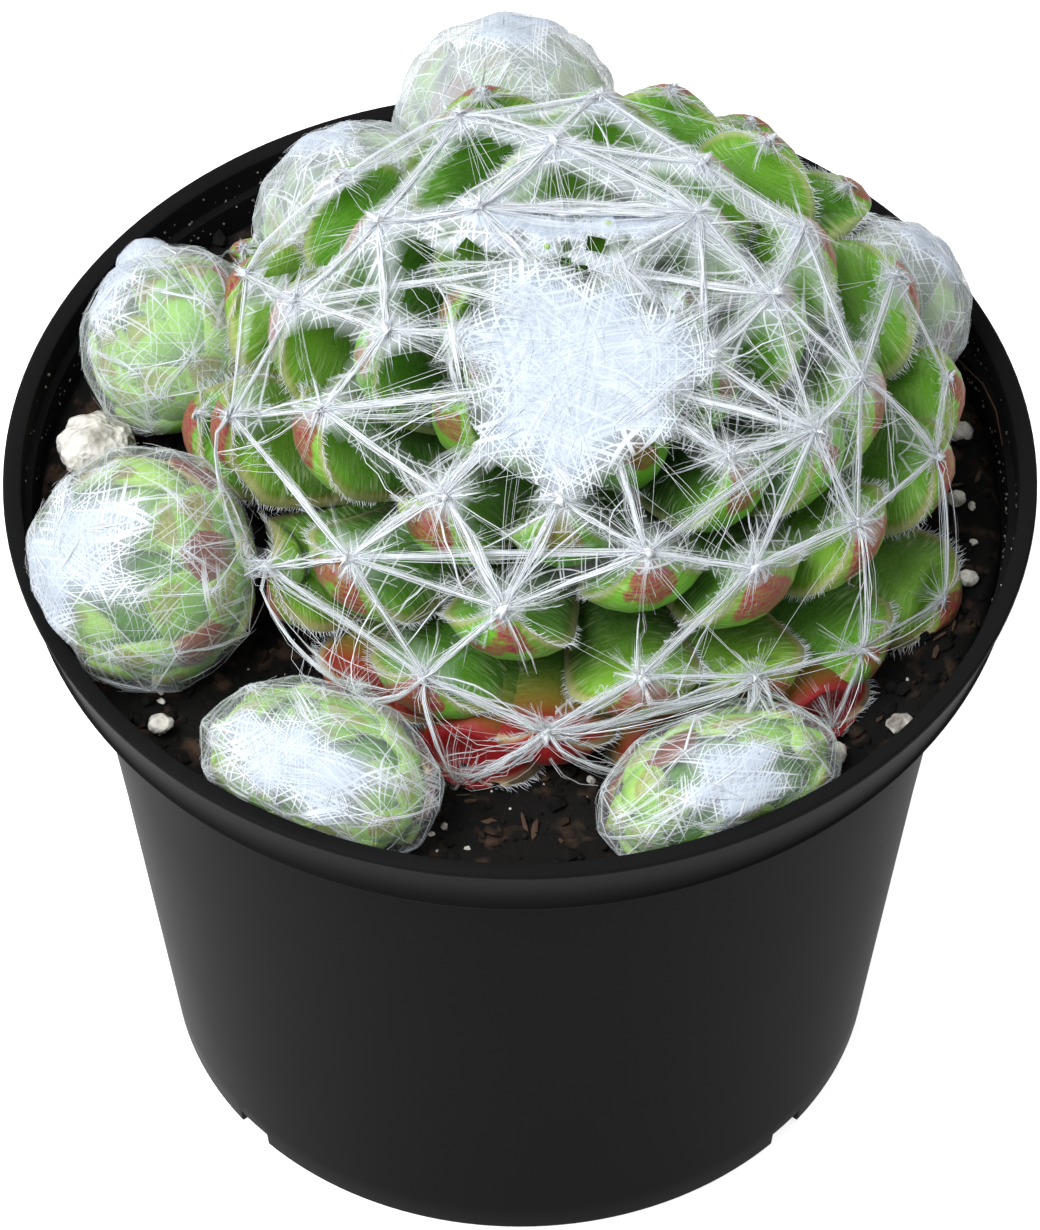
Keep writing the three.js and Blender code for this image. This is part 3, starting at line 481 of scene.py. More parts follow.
def clear_of_pot(p, pad):
    q = p.copy()
    q.z = max(q.z, soil_height(q.x, q.y) + pad)
    r = math.hypot(q.x, q.y)
    room = min(RIM_RADIUS - 0.1, inside_radius(q.z) - pad + max(0.0, q.z - POT_HEIGHT - 0.6))
    if r > room:
        q.x *= room / r
        q.y *= room / r
    return q


def clear_of_offsets(p, pad):
    q = p.copy()
    for offset in offsets:
        half = offset.size + Vector((pad, pad, pad))
        way = q - offset.at
        start = offset.parts(way)
        start = Vector((start.x / half.x, start.y / half.y, start.z / half.z))
        if start.length_squared >= 1:
            continue
        away = (offset.at - MOTHER_CENTRE).normalized()
        outward = way.dot(away)
        if outward > -2:
            way = way + away * (-outward - 2)
        way.normalize()
        step = offset.parts(way)
        step = Vector((step.x / half.x, step.y / half.y, step.z / half.z))
        a, b, c = step.length_squared, start.dot(step), start.length_squared - 1
        q = q + way * ((-b + math.sqrt(max(0.0, b * b - a * c))) / a)
    return q


def settle_mother(p):
    return clear_of_pot(clear_of_offsets(clear_of_pot(p, LEAF_GAP), LEAF_GAP), LEAF_GAP)


def width_share(t):
    widest = 0.58
    if t < widest:
        return mix(0.5, 1, math.sin((t / widest) * math.pi / 2))
    s = (t - widest) / (1 - widest)
    return max(0.0, 1 - s ** 1.45) ** 0.9


def thickness_share(t):
    return mix(0.85, 1, smooth(t / 0.3)) * max(0.0, 1 - t ** 3.2) ** 0.6


def mother_point(x, y, z):
    return MOTHER_CENTRE + Vector((x, 0, 0)) + LEAN_BACK * y + LEAN_UP * z


def dome_height(rho):
    return MOTHER_DOME * (1 - (rho / MOTHER_RADIUS) ** DOME_SHARPNESS)


def on_view(p):
    """Where a place lies across and up the view, in mm from the middle of the lip."""
    return p.x, (p - LIP_MIDDLE).dot(UPWARDS)


def view_of_pixel(pixel):
    """The same for a pixel. The lens is long enough to take the rays as parallel."""
    across = (pixel[0] - FRAME_WIDTH / 2) / PIXELS_PER_MM
    return across, (FRAME_HEIGHT / 2 - pixel[1]) / PIXELS_PER_MM - AIM_DROP


def drawn(n, rho, azimuth):
    """How far leaf tip n is drawn outwards and round from its place in the spiral, in mm."""
    if n not in SEEN_TIPS:
        return 0.0, 0.0
    goal = view_of_pixel(SEEN_TIPS[n])

    def miss(shift):
        r, a = rho + shift[0], azimuth + shift[1] / rho
        height = dome_height(min(r, 1.02 * MOTHER_RADIUS)) + 0.4
        across, up = on_view(mother_point(r * math.cos(a), r * math.sin(a), height))
        return np.array([across - goal[0], up - goal[1], HOLD * shift[0], HOLD * shift[1]])

    shift, step = np.zeros(2), 0.01
    for _ in range(12):
        here = miss(shift)
        slopes = np.stack([(miss(shift + way) - here) / step for way in np.eye(2) * step], axis=1)
        shift = shift - np.linalg.lstsq(slopes, here, rcond=None)[0]
    return (min(DRAWN_OUT, max(-DRAWN_IN, float(shift[0]))),
            min(DRAWN_ROUND, max(-DRAWN_ROUND, float(shift[1]))))


def mother_leaf(n):
    """Leaf n: 0 is the youngest that stands clear of the felt, negative ones are younger."""
    if n >= 0:
        rho = MOTHER_RADIUS * ((n + 2.4) / 42.8) ** 0.35
    else:
        rho = 11.4 * ((n + YOUNG_LEAVES + 0.6) / YOUNG_LEAVES) ** 0.62
    azimuth = FIRST_AZIMUTH + n * DIVERGENCE
    out, round_ = drawn(n, rho, azimuth)
    rho, azimuth = rho + out, azimuth + round_ / rho
    age = min(1.0, rho / MOTHER_RADIUS)
    return {"n": n, "rho": rho, "age": age, "azimuth": azimuth, "height": dome_height(rho),
            "width": mix(6, 12.6, smooth(age * 1.1)) * mix(0.94, 1.06, scatter(n + 20, 1)),
            "thick": mix(2.4, 4.2, age), "bend": mix(10, 36, smooth(age * 1.2 - 0.3))}


def mother_spine(leaf, t):
    rho, age, height = leaf["rho"], leaf["age"], leaf["height"]
    root = (mix(2.0, 8, age), mix(4, -4.5, smooth((rho - 6) / 27)))
    belly = (rho + mix(6.2, 4.2, age ** 4) * min(1, rho / 15), height - mix(8.5, 6, age ** 4))
    u = 1 - t
    return tuple(u * u * root[k] + 2 * t * u * belly[k] + t * t * (rho, height)[k] for k in (0, 1))


def leaf_blank(rows, sides):
    """One blank leaf: a round tube of rows, drawn together to a point at its end."""
    bpy.ops.object.select_all(action="DESELECT")
    bpy.ops.mesh.primitive_circle_add(vertices=sides, radius=1, fill_type="NGON", location=(0, 0, 0))
    blank = bpy.context.object
    bpy.ops.object.mode_set(mode="EDIT")
    bpy.ops.mesh.select_all(action="SELECT")
    for _ in range(rows):
        bpy.ops.mesh.extrude_region_move(TRANSFORM_OT_translate={"value": (0, 0, 1)})
    bpy.ops.mesh.merge(type="CENTER")
    bpy.ops.object.mode_set(mode="OBJECT")
    face_outwards(blank)
    return blank


def leaf_surface(leaf):
    """Gives a function of t along, u across and side (-1 outer, +1 inner) to a settled point."""
    ca, sa = math.cos(leaf["azimuth"]), math.sin(leaf["azimuth"])
    side = mother_point(-sa, ca, 0) - MOTHER_CENTRE
    rows = {}

    def row(t):
        if t not in rows:
            here, ahead = mother_spine(leaf, t), mother_spine(leaf, t + 0.01)
            middle = mother_point(here[0] * ca, here[0] * sa, here[1])
            step = mother_point(ahead[0] * ca, ahead[0] * sa, ahead[1]) - middle
            inwards = side.cross(step.normalized()).normalized()
            if inwards.dot(mother_point(0, 0, here[1] + 10) - middle) < 0:
                inwards = -inwards
            half, thick = leaf["width"] / 2 * width_share(t), leaf["thick"] * thickness_share(t)
            rows[t] = (middle, inwards, half, thick)
        return rows[t]

    def place(t, u, lift):
        middle, inwards, half, thick = row(t)
        turn = u * half / leaf["bend"]
        return (middle + side * (leaf["bend"] * math.sin(turn))
                + inwards * (leaf["bend"] * (1 - math.cos(turn)) + lift * thick))

    def settled(t, angle):
        u, s = math.cos(angle), math.sin(angle)
        swell = abs(s) ** 1.6
        outer, inner = place(t, u, -0.62 * swell), place(t, u, 0.7 * swell)
        shifts = [settle_mother(p) - p for p in (outer, inner)]
        shift = max(shifts, key=lambda v: v.length_squared)
        return (outer if s < 0 else inner) + shift

    return settled


LEAF_MARKS = ("along", "across", "outer", "age", "lot", "red")
DOWN = "#cfe0a8"                  # the down's pale green


def keep(piece, name, values, kind="FLOAT"):
    """Writes a value for each point of a piece, which its finish then reads."""
    layer = piece.data.attributes.new(name, kind, "POINT")
    layer.data.foreach_set("value" if kind == "FLOAT" else "vector", values)


def bent_leaves(name, blank, rows, leaves, surface_of):
    """Copies the blank for every leaf and bends it to the leaf's surface. Each copy keeps where its points
    lie on the leaf, which the leaf's colours read."""
    shape = [(round(v.co.z), math.atan2(v.co.y, v.co.x)) for v in blank.data.vertices]
    faces = [tuple(p.vertices) for p in blank.data.polygons]
    points, loops, marks = [], [], []
    for leaf in leaves:
        settled = surface_of(leaf)
        start = len(points)
        for k, angle in shape:
            t, u, outer = 1.0, 0.0, 0.0
            if k < rows:
                t, u, outer = 1 - (1 - k / rows) ** ROW_EASE, math.cos(angle), -math.sin(angle)
            points.append(settled(t, angle if k < rows else 0.0)[:])
            marks.append((t, u, outer, leaf["age"], leaf["lot"], leaf["red"]))
        loops += [tuple(i + start for i in face) for face in faces]
    piece = new_piece(name, points, loops)
    for column, mark in enumerate(LEAF_MARKS):
        keep(piece, mark, [m[column] for m in marks])
    face_outwards(piece)
    bpy.ops.object.shade_smooth()
    return piece


# How red the sun has turned a leaf's back: the lowest leaves at the front most of all.
SUN_RED = {49: 1.0, 44: 1.0, 36: 0.97, 52: 1.0, 41: 0.95, 39: 0.55, 47: 0.6, 28: 0.5, 23: 0.5, 31: 0.55,
           15: 0.5, 10: 0.4, 18: 0.45, 20: 0.5, 7: 0.4, 26: 0.45, 12: 0.5, 25: 0.5, 33: 0.6, 38: 0.5,
           13: 0.45, 8: 0.4, 21: 0.3, 34: 0.5, 42: 0.35, 29: 0.3, 16: 0.3, 17: 0.4, 9: 0.35, 30: 0.4, 2: 0.1}
mother_leaves = []
for n in range(-YOUNG_LEAVES, FULL_LEAVES):
    leaf = mother_leaf(n)
    leaf["lot"] = scatter(n + 5, 3)
    leaf["red"] = SUN_RED.get(n, 0.15 + 0.15 * leaf["age"])
    x, y = leaf["rho"] * math.cos(leaf["azimuth"]), leaf["rho"] * math.sin(leaf["azimuth"])
    leaf["tip"] = settle_mother(mother_point(x, y, leaf["height"]))
    if n not in CROWDED_OUT:
        mother_leaves.append(leaf)

blank = leaf_blank(MOTHER_ROWS, MOTHER_SIDES)
mother = bent_leaves("mother_leaves", blank, MOTHER_ROWS, mother_leaves, leaf_surface)
bpy.data.objects.remove(blank)


def leaf_skin(name, young, grown, root, patch_red, ripe_red, down_share):
    """Living houseleek leaf: waxy flesh under fine down. Grown leaves are duller, the back reddens behind
    the tip and the margins redden with age. The down is a relief of streaks 0.2 mm apart that run to the
    edges."""
    skin, tree, shader = new_material(name, grown[0], 0.5)
    where = add_node(tree, "ShaderNodeTexCoord", "Object", {})
    share = {m: add_node(tree, "ShaderNodeAttribute", "Fac", {}, attribute_name=m) for m in LEAF_MARKS}
    on_leaf = add_node(tree, "ShaderNodeCombineXYZ", 0,
                       {"X": share["across"], "Y": share["along"], "Z": share["lot"]})
    comb = add_node(tree, "ShaderNodeMapping", 0, {"Vector": on_leaf, "Scale": (3.0, 90.0, 40.0)})
    for part, place, scale, detail in (("mottle", where, 260.0, 4.0), ("cells", where, 3500.0, 3.0),
                                       ("streaks", comb, 1.0, 3.0)):
        share[part] = add_node(tree, "ShaderNodeTexNoise", "Fac",
                               {"Vector": place, "Scale": scale, "Detail": detail})
    share["edge"] = add_node(tree, "ShaderNodeMath", 0, {0: share["across"]}, operation="ABSOLUTE")

    # Each of these rises or falls softly as a mark or a pattern runs between two values.
    for part, source, low, high, to_low, to_high in (
            # root: painted shade, the leaf is coloured darker from its middle down to its root, where the
            # crevices between the leaves lie in shade.
            ("grown", "age", 0.5, 1.0, 0.0, 1.0), ("root", "along", 0.25, 0.8, 0.9, 0.0),
            ("mottled", "mottle", 0.4, 0.75, 0.0, 0.3), ("upper half", "along", 0.35, 0.7, 0.0, 1.0),
            ("behind tip", "along", 0.6, 0.82, 0.0, 1.0), ("off the edge", "edge", 0.5, 1.1, 1.0, 0.0),
            ("on the back", "outer", 0.0, 0.3, 0.0, 1.0), ("blotched", "mottle", 0.3, 0.55, 0.4, 1.4),
            ("ripe", "red", 0.6, 1.0, 0.0, 1.0), ("margin", "edge", 0.8, 1.0, 0.0, 1.0),
            ("hair", "streaks", 0.45, 0.7, 0.0, 1.0), ("hair to edge", "edge", 0.0, 1.0, 0.08, 0.5),
            ("short hair", "cells", 0.3, 0.8, 0.0, down_share), ("grainy", "cells", 0.2, 0.6, 0.6, 1.0),
            ("under hair", "streaks", 0.35, 0.65, 1.0, 0.7), ("tip down", "along", 0.955, 1.0, 0.0, 0.45),
            ("edge down", "edge", 0.86, 1.0, 0.0, 0.4)):
        ends = {"Value": share[source], "From Min": low, "From Max": high, "To Min": to_low, "To Max": to_high}
        share[part] = add_node(tree, "ShaderNodeMapRange", 0, ends, interpolation_type="SMOOTHSTEP")
    for part, operation, one, other in (
            ("patch", "MULTIPLY", "behind tip", "off the edge"), ("patch", "MULTIPLY", "patch", "on the back"),
            ("patch", "MULTIPLY", "patch", "blotched"), ("hair", "MULTIPLY", "hair", "hair to edge"),
            ("hair", "MAXIMUM", "hair", "short hair"), ("margin", "MULTIPLY", "margin", "red"),
            ("all over", "MULTIPLY", "ripe", "upper half"), ("reddened", "MAXIMUM", "margin", "all over"),
            ("down", "MAXIMUM", "tip down", "edge down"), ("relief", "ADD", "streaks", "cells")):
        share[part] = add_node(tree, "ShaderNodeMath", 0, {0: share[one], 1: share[other]},
                               operation=operation, use_clamp=True)

    # A patch opens where the leaf is red enough for it.
    least = add_node(tree, "ShaderNodeMath", 0, {0: share["red"], 1: 0.75, 2: share["patch"]},
                     operation="MULTIPLY_ADD")
    share["patch"] = add_node(tree, "ShaderNodeMapRange", 0,
                              {"Value": least, "From Min": 0.8, "From Max": 1.25},
                              interpolation_type="SMOOTHSTEP")
    for part in ("grainy", "under hair"):
        share["patch"] = add_node(tree, "ShaderNodeMath", 0, {0: share["patch"], 1: share[part]},
                                  operation="MULTIPLY", use_clamp=True)

    # The colours, laid one over another.
    shades = []
    for part, one, other in (("lot", *young), ("lot", *grown), ("ripe", patch_red, ripe_red)):
        shades.append(add_node(tree, "ShaderNodeMix", 2,
                               {0: share[part], 6: linear(one), 7: linear(other)}, data_type="RGBA"))
    flesh, grown_flesh, reds = shades
    # The root colour is laid on twice: as painted shade towards each leaf's root, and at random as real
    # mottling.
    for part, over in (("grown", grown_flesh), ("root", linear(root)), ("mottled", linear(root)),
                       ("hair", linear(DOWN)), ("patch", reds), ("reddened", linear(ripe_red)),
                       ("down", linear(DOWN))):
        flesh = add_node(tree, "ShaderNodeMix", 2, {0: share[part], 6: flesh, 7: over}, data_type="RGBA")
    tree.links.new(flesh, shader.inputs["Base Color"])
    bump = add_node(tree, "ShaderNodeBump", 0,
                    {"Height": share["relief"], "Strength": 0.6, "Distance": 0.00015})
    tree.links.new(bump, shader.inputs["Normal"])
    shader.inputs["Subsurface Weight"].default_value = 0.08
    shader.inputs["Subsurface Radius"].default_value = (0.6, 1.0, 0.25)
    shader.inputs["Subsurface Scale"].default_value = 0.0012
    shader.inputs["Specular IOR Level"].default_value = 0.35
    shader.inputs["Sheen Weight"].default_value = 0.1
    shader.inputs["Sheen Roughness"].default_value = 0.4
    shader.inputs["Sheen Tint"].default_value = linear("#e4f0d0")
    return skin


def plain_marks(piece, **values):
    """Gives a piece the leaf marks with one value all over, so that it can take a leaf's finish."""
    for name, value in values.items():
        keep(piece, name, [value] * len(piece.data.vertices))


def joined(name, pieces):
    pick(pieces[0])
    for piece in pieces[1:]:
        piece.select_set(True)
    bpy.ops.object.join()
    pieces[0].name = name
    return pieces[0]


# The fourth colour is the painted shade laid towards the leaves' roots, and also the colour of their mottling.
grown_skin = leaf_skin("houseleek_leaf_downy", ("#68b81c", "#88c832"), ("#58a216", "#78a81e"), "#124404",
                       "#961c40", "#8e1418", 0.1)

# The trunk that the leaves stand on, rooted in the mix.
TRUNK = [(1, 54.6), (2.9, 54.9), (3, 60), (5, 62.3), (9.2, 66), (10.4, 69.5), (9.9, 74.5), (8, 78.5),
         (5, 81.4), (1, 82.5)]
trunk = turn_profile("mother_trunk", TRUNK, 40)
for vertex in trunk.data.vertices:
    x, y, z = (c / MM for c in vertex.co)
    lean = max(0.0, z - 62.0) * math.tan(LEAN) * 0.9
    vertex.co = Vector((x + MOTHER_CENTRE.x, y + MOTHER_CENTRE.y + 1.8 - lean, z)) * MM
bpy.ops.object.shade_smooth()
# The trunk takes the marks of a leaf's root, so it is coloured with the leaves' painted shade.
plain_marks(trunk, along=0.2, across=0.0, outer=0.0, age=0.8, lot=0.3, red=0.0)
mother = joined("mother_rosette", [mother, trunk])
mother.data.materials.clear()
mother.data.materials.append(grown_skin)
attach(mother, "root")
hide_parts("rosette_mother")


# ---- Mother rosette: fringe ----
# Every leaf carries a fringe of soft hairs about 1 mm long on both margins, thinner towards its root. They
# are drawn as tapered three-sided strands, on the leaves that stand clear of the felt.
FRINGE_STEP, FRINGE_LENGTH = 0.0085, 1.05


def fibres(name, strands):
    """Strands as one mesh. Each is (points in mm, radii in mm), swept with a triangle."""
    bpy.ops.object.select_all(action="DESELECT")
    bpy.ops.curve.primitive_bezier_circle_add(radius=MM)
    outline = bpy.context.object
    outline.data.splines.clear()
    triangle = outline.data.splines.new("POLY")
    triangle.points.add(2)
    for k in range(3):
        a = 2 * math.pi * k / 3
        triangle.points[k].co = (MM * math.cos(a), MM * math.sin(a), 0, 1)
    triangle.use_cyclic_u = True
    curve = bpy.data.curves.new(name, "CURVE")
    curve.dimensions = "3D"
    for points, radii in strands:
        spline = curve.splines.new("POLY")
        spline.points.add(len(points) - 1)
        spline.points.foreach_set("co", [c for p in points for c in (p[0] * MM, p[1] * MM, p[2] * MM, 1.0)])
        spline.points.foreach_set("radius", radii)
    curve.bevel_mode = "OBJECT"
    curve.bevel_object = outline
    curve.use_fill_caps = True
    piece = bpy.data.objects.new(name, curve)
    bpy.context.collection.objects.link(piece)
    pick(piece)
    bpy.ops.object.convert(target="MESH")
    bpy.data.objects.remove(outline)
    face_outwards(piece)
    bpy.ops.object.shade_smooth()
    return piece


def any_way():
    while True:
        v = Vector((draw.uniform(-1, 1), draw.uniform(-1, 1), draw.uniform(-1, 1)))
        if 0.05 < v.length < 1:
            return v.normalized()


def fringe(settled, first, step, length):
    """Hairs along both margins of a leaf, from its place first to the tip."""
    strands = []
    for angle in (0.0, math.pi):
        t = first
        while t < 0.995:
            here, ahead = settled(t, angle), settled(min(t + 0.02, 0.9999), angle)
            middle = (here + settled(t, angle + math.pi)) / 2
            forward = (ahead - here).normalized() if (ahead - here).length > 1e-6 else Vector((0, 0, 1))
            out = (here - middle).normalized() if (here - middle).length > 1e-6 else forward
            way = (out + forward * 0.45 + any_way() * 0.35).normalized()
            reach = length * draw.uniform(0.6, 1.1) * mix(0.55, 1, smooth((t - first) / 0.3))
            bend = any_way() * 0.14 * reach
            strands.append(([here - way * 0.1, here + way * reach * 0.5 + bend, here + way * reach],
                            [0.032, 0.024, 0.006]))
            t += step * draw.uniform(0.7, 1.3)
    return strands


hairs = []
for leaf in mother_leaves:
    if leaf["n"] >= 0:
        hairs += fringe(leaf_surface(leaf), 0.42, FRINGE_STEP, FRINGE_LENGTH)
fringe_mother = fibres("leaf_fringe_mother", hairs)

# Plant hair: colourless, so it shows white, with a soft sheen.
hair_white, tree, shader = new_material("plant_hair_white", "#e8eef4", 0.6)
shader.inputs["Specular IOR Level"].default_value = 0.3
shader.inputs["Sheen Weight"].default_value = 0.6
fringe_mother.data.materials.append(hair_white)
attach(fringe_mother, "root")


# ---- Loose root ----
# A dry brown root that leans on the pot's wall, 0.2 mm across: one strand.
ROOT = ((37.4, 19.6, 60.2), (38.3, 17.2, 61.1), (40.4, 13.4, 62.3), (41.5, 9.6, 63.2), (42, 5, 64))
root_path = [Vector(p) for p in ROOT]
loose_root = fibres("loose_root", [(root_path, [0.05, 0.1, 0.1, 0.09, 0.04])])
root_brown, tree, shader = new_material("root_dried_brown", "#5a3c26", 0.8)
loose_root.data.materials.append(root_brown)
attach(loose_root, "root")


# ---- Offset rosettes ----
# The chicks: tight balls of incurved leaves on short runners. The tips of the outer leaves stand where the
# web gathers; the rest fill up in a golden-angle spiral.
# Leaf tips and pink patches of each chick, in pixels of the camera's frame.
STARS = {
    "back": [(550, 90), (545, 120), (395, 100), (460, 60), (500, 30), (440, 100)],
    "back_left": [(262, 200), (330, 140), (300, 170), (360, 150)],
    "upper_left": [(135, 370), (205, 300), (160, 290), (240, 350), (120, 310)],
    "left": [(185, 549), (140, 597), (171, 447), (227, 487), (180, 655), (110, 659), (252, 636), (60, 480)],
    "front_left": [(376, 822), (397, 733), (243, 713), (202, 768), (322, 686), (443, 804), (430, 856)],
    "front_right": [(656, 781), (648, 834), (736, 725), (807, 743), (835, 776)],
    "right": [(870, 215), (913, 233), (954, 269), (965, 319), (941, 382), (905, 330)],
    "bud": [(140, 250), (125, 270), (155, 285)],
}
BLUSH = {
    "back": [(417, 93), (446, 89), (478, 74), (560, 110)], "back_left": [(330, 190)],
    "upper_left": [(215, 250), (245, 290)], "left": [(209, 550), (215, 640), (190, 450)],
    "front_left": [(440, 790)], "front_right": [(610, 790), (690, 740)], "right": [(955, 330)], "bud": [],
}
OFFSET_ROWS, OFFSET_SIDES = 12, 12
OFFSET_TRIES = 110                # places tried for the leaves of a chick
MOST_PUSHED = 1.6                 # a leaf that the pot would push further than this is left out


def offset_ways(offset):
    across = Vector((0, 0, 1)).cross(offset.crown).normalized()
    return across, offset.crown.cross(across)


def from_crown(offset, polar, azimuth):
    """Direction at an angle from an offset's crown, turned round it."""
    across, round_ = offset_ways(offset)
    return (offset.crown * math.cos(polar) + across * (math.sin(polar) * math.cos(azimuth))
            + round_ * (math.sin(polar) * math.sin(azimuth)))


def seen_way(offset, pixel):
    """Direction from an offset's centre to the place on its ball that the camera sees at a pixel."""
    across, up = view_of_pixel(pixel)
    start = offset.parts(LIP_MIDDLE + Vector((across, 0, 0)) + UPWARDS * up - offset.at)
    step = offset.parts(TOWARDS)
    for axis in range(3):
        start[axis] /= offset.size[axis]
        step[axis] /= offset.size[axis]
    a, b, c = step.length_squared, start.dot(step), start.length_squared - 1
    on_ball = (start + step * ((-b + math.sqrt(max(0.0, b * b - a * c))) / a)).normalized()
    return offset.out * on_ball.x + offset.along * on_ball.y + offset.up * on_ball.z


def offset_leaves(offset):
    """Tip directions of the leaves, the stars first, then as many others as there is room for."""
    across, round_ = offset_ways(offset)
    spacing = math.radians(44 if offset.name == "bud" else 21)
    tips = [seen_way(offset, pixel) for pixel in STARS[offset.name]]
    pink = [seen_way(offset, pixel) for pixel in BLUSH[offset.name]]
    for i in range(OFFSET_TRIES):
        share = (i + 0.5) / OFFSET_TRIES
        way = from_crown(offset, math.radians(mix(10, 118, share ** 0.6)), i * GOLD + offset.at.x)
        if all(way.angle(tip) > spacing for tip in tips):
            tips.append(way)
    leaves = []
    for k, tip in enumerate(tips):
        polar = tip.angle(offset.crown)
        azimuth = math.atan2(tip.dot(round_), tip.dot(across))
        share = min(1.0, polar / math.radians(112))
        blush = any(way.angle(tip) < 0.33 for way in pink)
        leaves.append({"polar": polar, "azimuth": azimuth, "shell": mix(0.86, 0.93, share), "tip_way": tip,
                       "half": mix(0.42, 0.5, share) * (1.4 if offset.name == "bud" else 1), "age": share,
                       "lot": scatter(k + 3, offset.at.x), "red": 0.9 if blush else 0.12 * draw.random()})
    return leaves


def offset_surface(offset):
    across, round_ = offset_ways(offset)

    def surface(leaf):
        reach = min(math.radians(80), math.pi * 0.93 - leaf["polar"])
        ca, sa = math.cos(leaf["azimuth"]), math.sin(leaf["azimuth"])
        outwards = across * ca + round_ * sa
        side = round_ * ca - across * sa

        def at(t, u, depth):
            polar = leaf["polar"] + reach * (1 - t)
            turn = u * leaf["half"] * width_share(t)
            way = (offset.crown * (math.cos(polar) * math.cos(turn))
                   + outwards * (math.sin(polar) * math.cos(turn)) + side * math.sin(turn))
            shell = leaf["shell"] - 0.3 * (1 - t) ** 2.5 - depth * 0.26 * thickness_share(t) - 0.05 * u * u
            return offset.point(way, shell)

        def settled(t, angle):
            u, s = math.cos(angle), math.sin(angle)
            swell = abs(s) ** 0.8
            outer, inner = at(t, u, 0.25 * (1 - swell)), at(t, u, 0.25 + 0.75 * swell)
            shifts = [clear_of_pot(p, LEAF_GAP) - p for p in (outer, inner)]
            return (outer if s < 0 else inner) + max(shifts, key=lambda v: v.length_squared)

        return settled

    return surface


# The fourth colour is the painted shade laid towards the leaves' roots, and also the colour of their mottling.
young_skin = leaf_skin("houseleek_leaf_young", ("#8ccc38", "#a6da55"), ("#70b22c", "#8cc23c"), "#3a8018",
                       "#93352e", "#7c2a1c", 0.15)
blank = leaf_blank(OFFSET_ROWS, OFFSET_SIDES)
chicks, chick_hairs = {}, {}
for offset in offsets:
    surface = offset_surface(offset)
    standing = []
    for leaf in offset_leaves(offset):
        tip = offset.point(leaf["tip_way"], leaf["shell"])
        if (clear_of_pot(tip, LEAF_GAP) - tip).length < MOST_PUSHED:
            standing.append(leaf)
    blades = bent_leaves(f"chick_{offset.name}_leaves", blank, OFFSET_ROWS, standing, surface)
    chick_hairs[offset.name] = [h for leaf in standing for h in fringe(surface(leaf), 0.55, 0.05, 0.7)]
    ball = grain_blank(4)
    for vertex in ball.data.vertices:
        vertex.co = clear_of_pot(offset.point(vertex.co.normalized(), 0.68), LEAF_GAP) * MM
    bpy.ops.object.shade_smooth()
    # The ball inside the leaves takes the marks of a leaf's root, so it shows the painted shade of the root
    # colour between the leaves.
    plain_marks(ball, along=0.3, across=0.0, outer=0.0, age=0.4, lot=0.4, red=0.0)
    radius = 0.8 if offset.name == "bud" else 1.3
    foot = Vector((offset.foot[0], offset.foot[1], SOIL_TOP - STEM_HOLE_DEPTH))
    bend = Vector((offset.foot[0], offset.foot[1], SOIL_TOP + 1.6))
    rods = []
    for low, high in ((foot, bend), (bend - Vector((0, 0, 0.6)), offset.at)):
        bpy.ops.object.select_all(action="DESELECT")
        run = high - low
        bpy.ops.mesh.primitive_cylinder_add(vertices=20, radius=radius * 0.95 * MM, depth=run.length * MM,
                                            location=(low + high) / 2 * MM,
                                            rotation=run.to_track_quat("Z", "Y").to_euler())
        bpy.ops.object.transform_apply(location=True, rotation=True)
        bpy.ops.object.shade_smooth_by_angle(angle=math.radians(40))
        plain_marks(bpy.context.object, along=0.5, across=0.0, outer=1.0, age=1.0, lot=0.5, red=0.8)
        rods.append(bpy.context.object)
    chick = joined(f"chick_{offset.name}", [blades, ball, *rods])
    chick.data.materials.clear()
    chick.data.materials.append(young_skin)
    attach(chick, "root")
    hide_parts(f"rosette_{offset.name}")
    chicks[offset.name] = (chick, standing)
bpy.data.objects.remove(blank)


# ---- Cobweb on the mother ----
# The plant spins its own web: flat white hairs run from leaf tip to leaf tip, gather in ropes between the
# strongest tips, and felt together over the crown.
FELT_FORWARD = 4.4
FELT_RADIUS = 10.6
FELT_LIFT = 1.2
FELT_BANDS, FELT_THREADS = 12, 220
BRIDGE_TRIES, LINKS_AT_MOST = 900, 470
LONGEST_LINK = 17
TANGLE_THREADS = 10
STAR_THREADS, STAR_HAIRS = 22, 24
HAIR_PITCH = 0.11                 # between the hairs of a band
TIP_LIFT = 0.45                   # how high above the leaf tips the threads meet
DOME_REACH = 32.2                 # how far the thin sheet of the dome reaches from its middle


def bvh_of(pieces):
    points, faces = [], []
    for piece in pieces:
        start = len(points)
        points += [v.co / MM for v in piece.data.vertices]
        faces += [[i + start for i in p.vertices] for p in piece.data.polygons]
    return BVHTree.FromPolygons(points, faces)


plants = bvh_of([mother] + [piece for piece, _ in chicks.values()])
WEB_HEART = MOTHER_CENTRE - Vector((0, 0, 6))


def lift_needed(p, gap):
    """How far p has to move away from the heart of the plant to lie a gap above the leaves."""
    way = (p - WEB_HEART).normalized()
    hit = plants.ray_cast(p + way * 9, -way, 9 + gap)
    if hit[0] is None:
        return 0.0
    return (hit[0] - p).dot(way) + gap


def even_shares(count):
    return [k / (count - 1) for k in range(count)]


def arch(t):
    """0 at both ends of a thread, 1 in its middle."""
    return 4 * t * (1 - t)


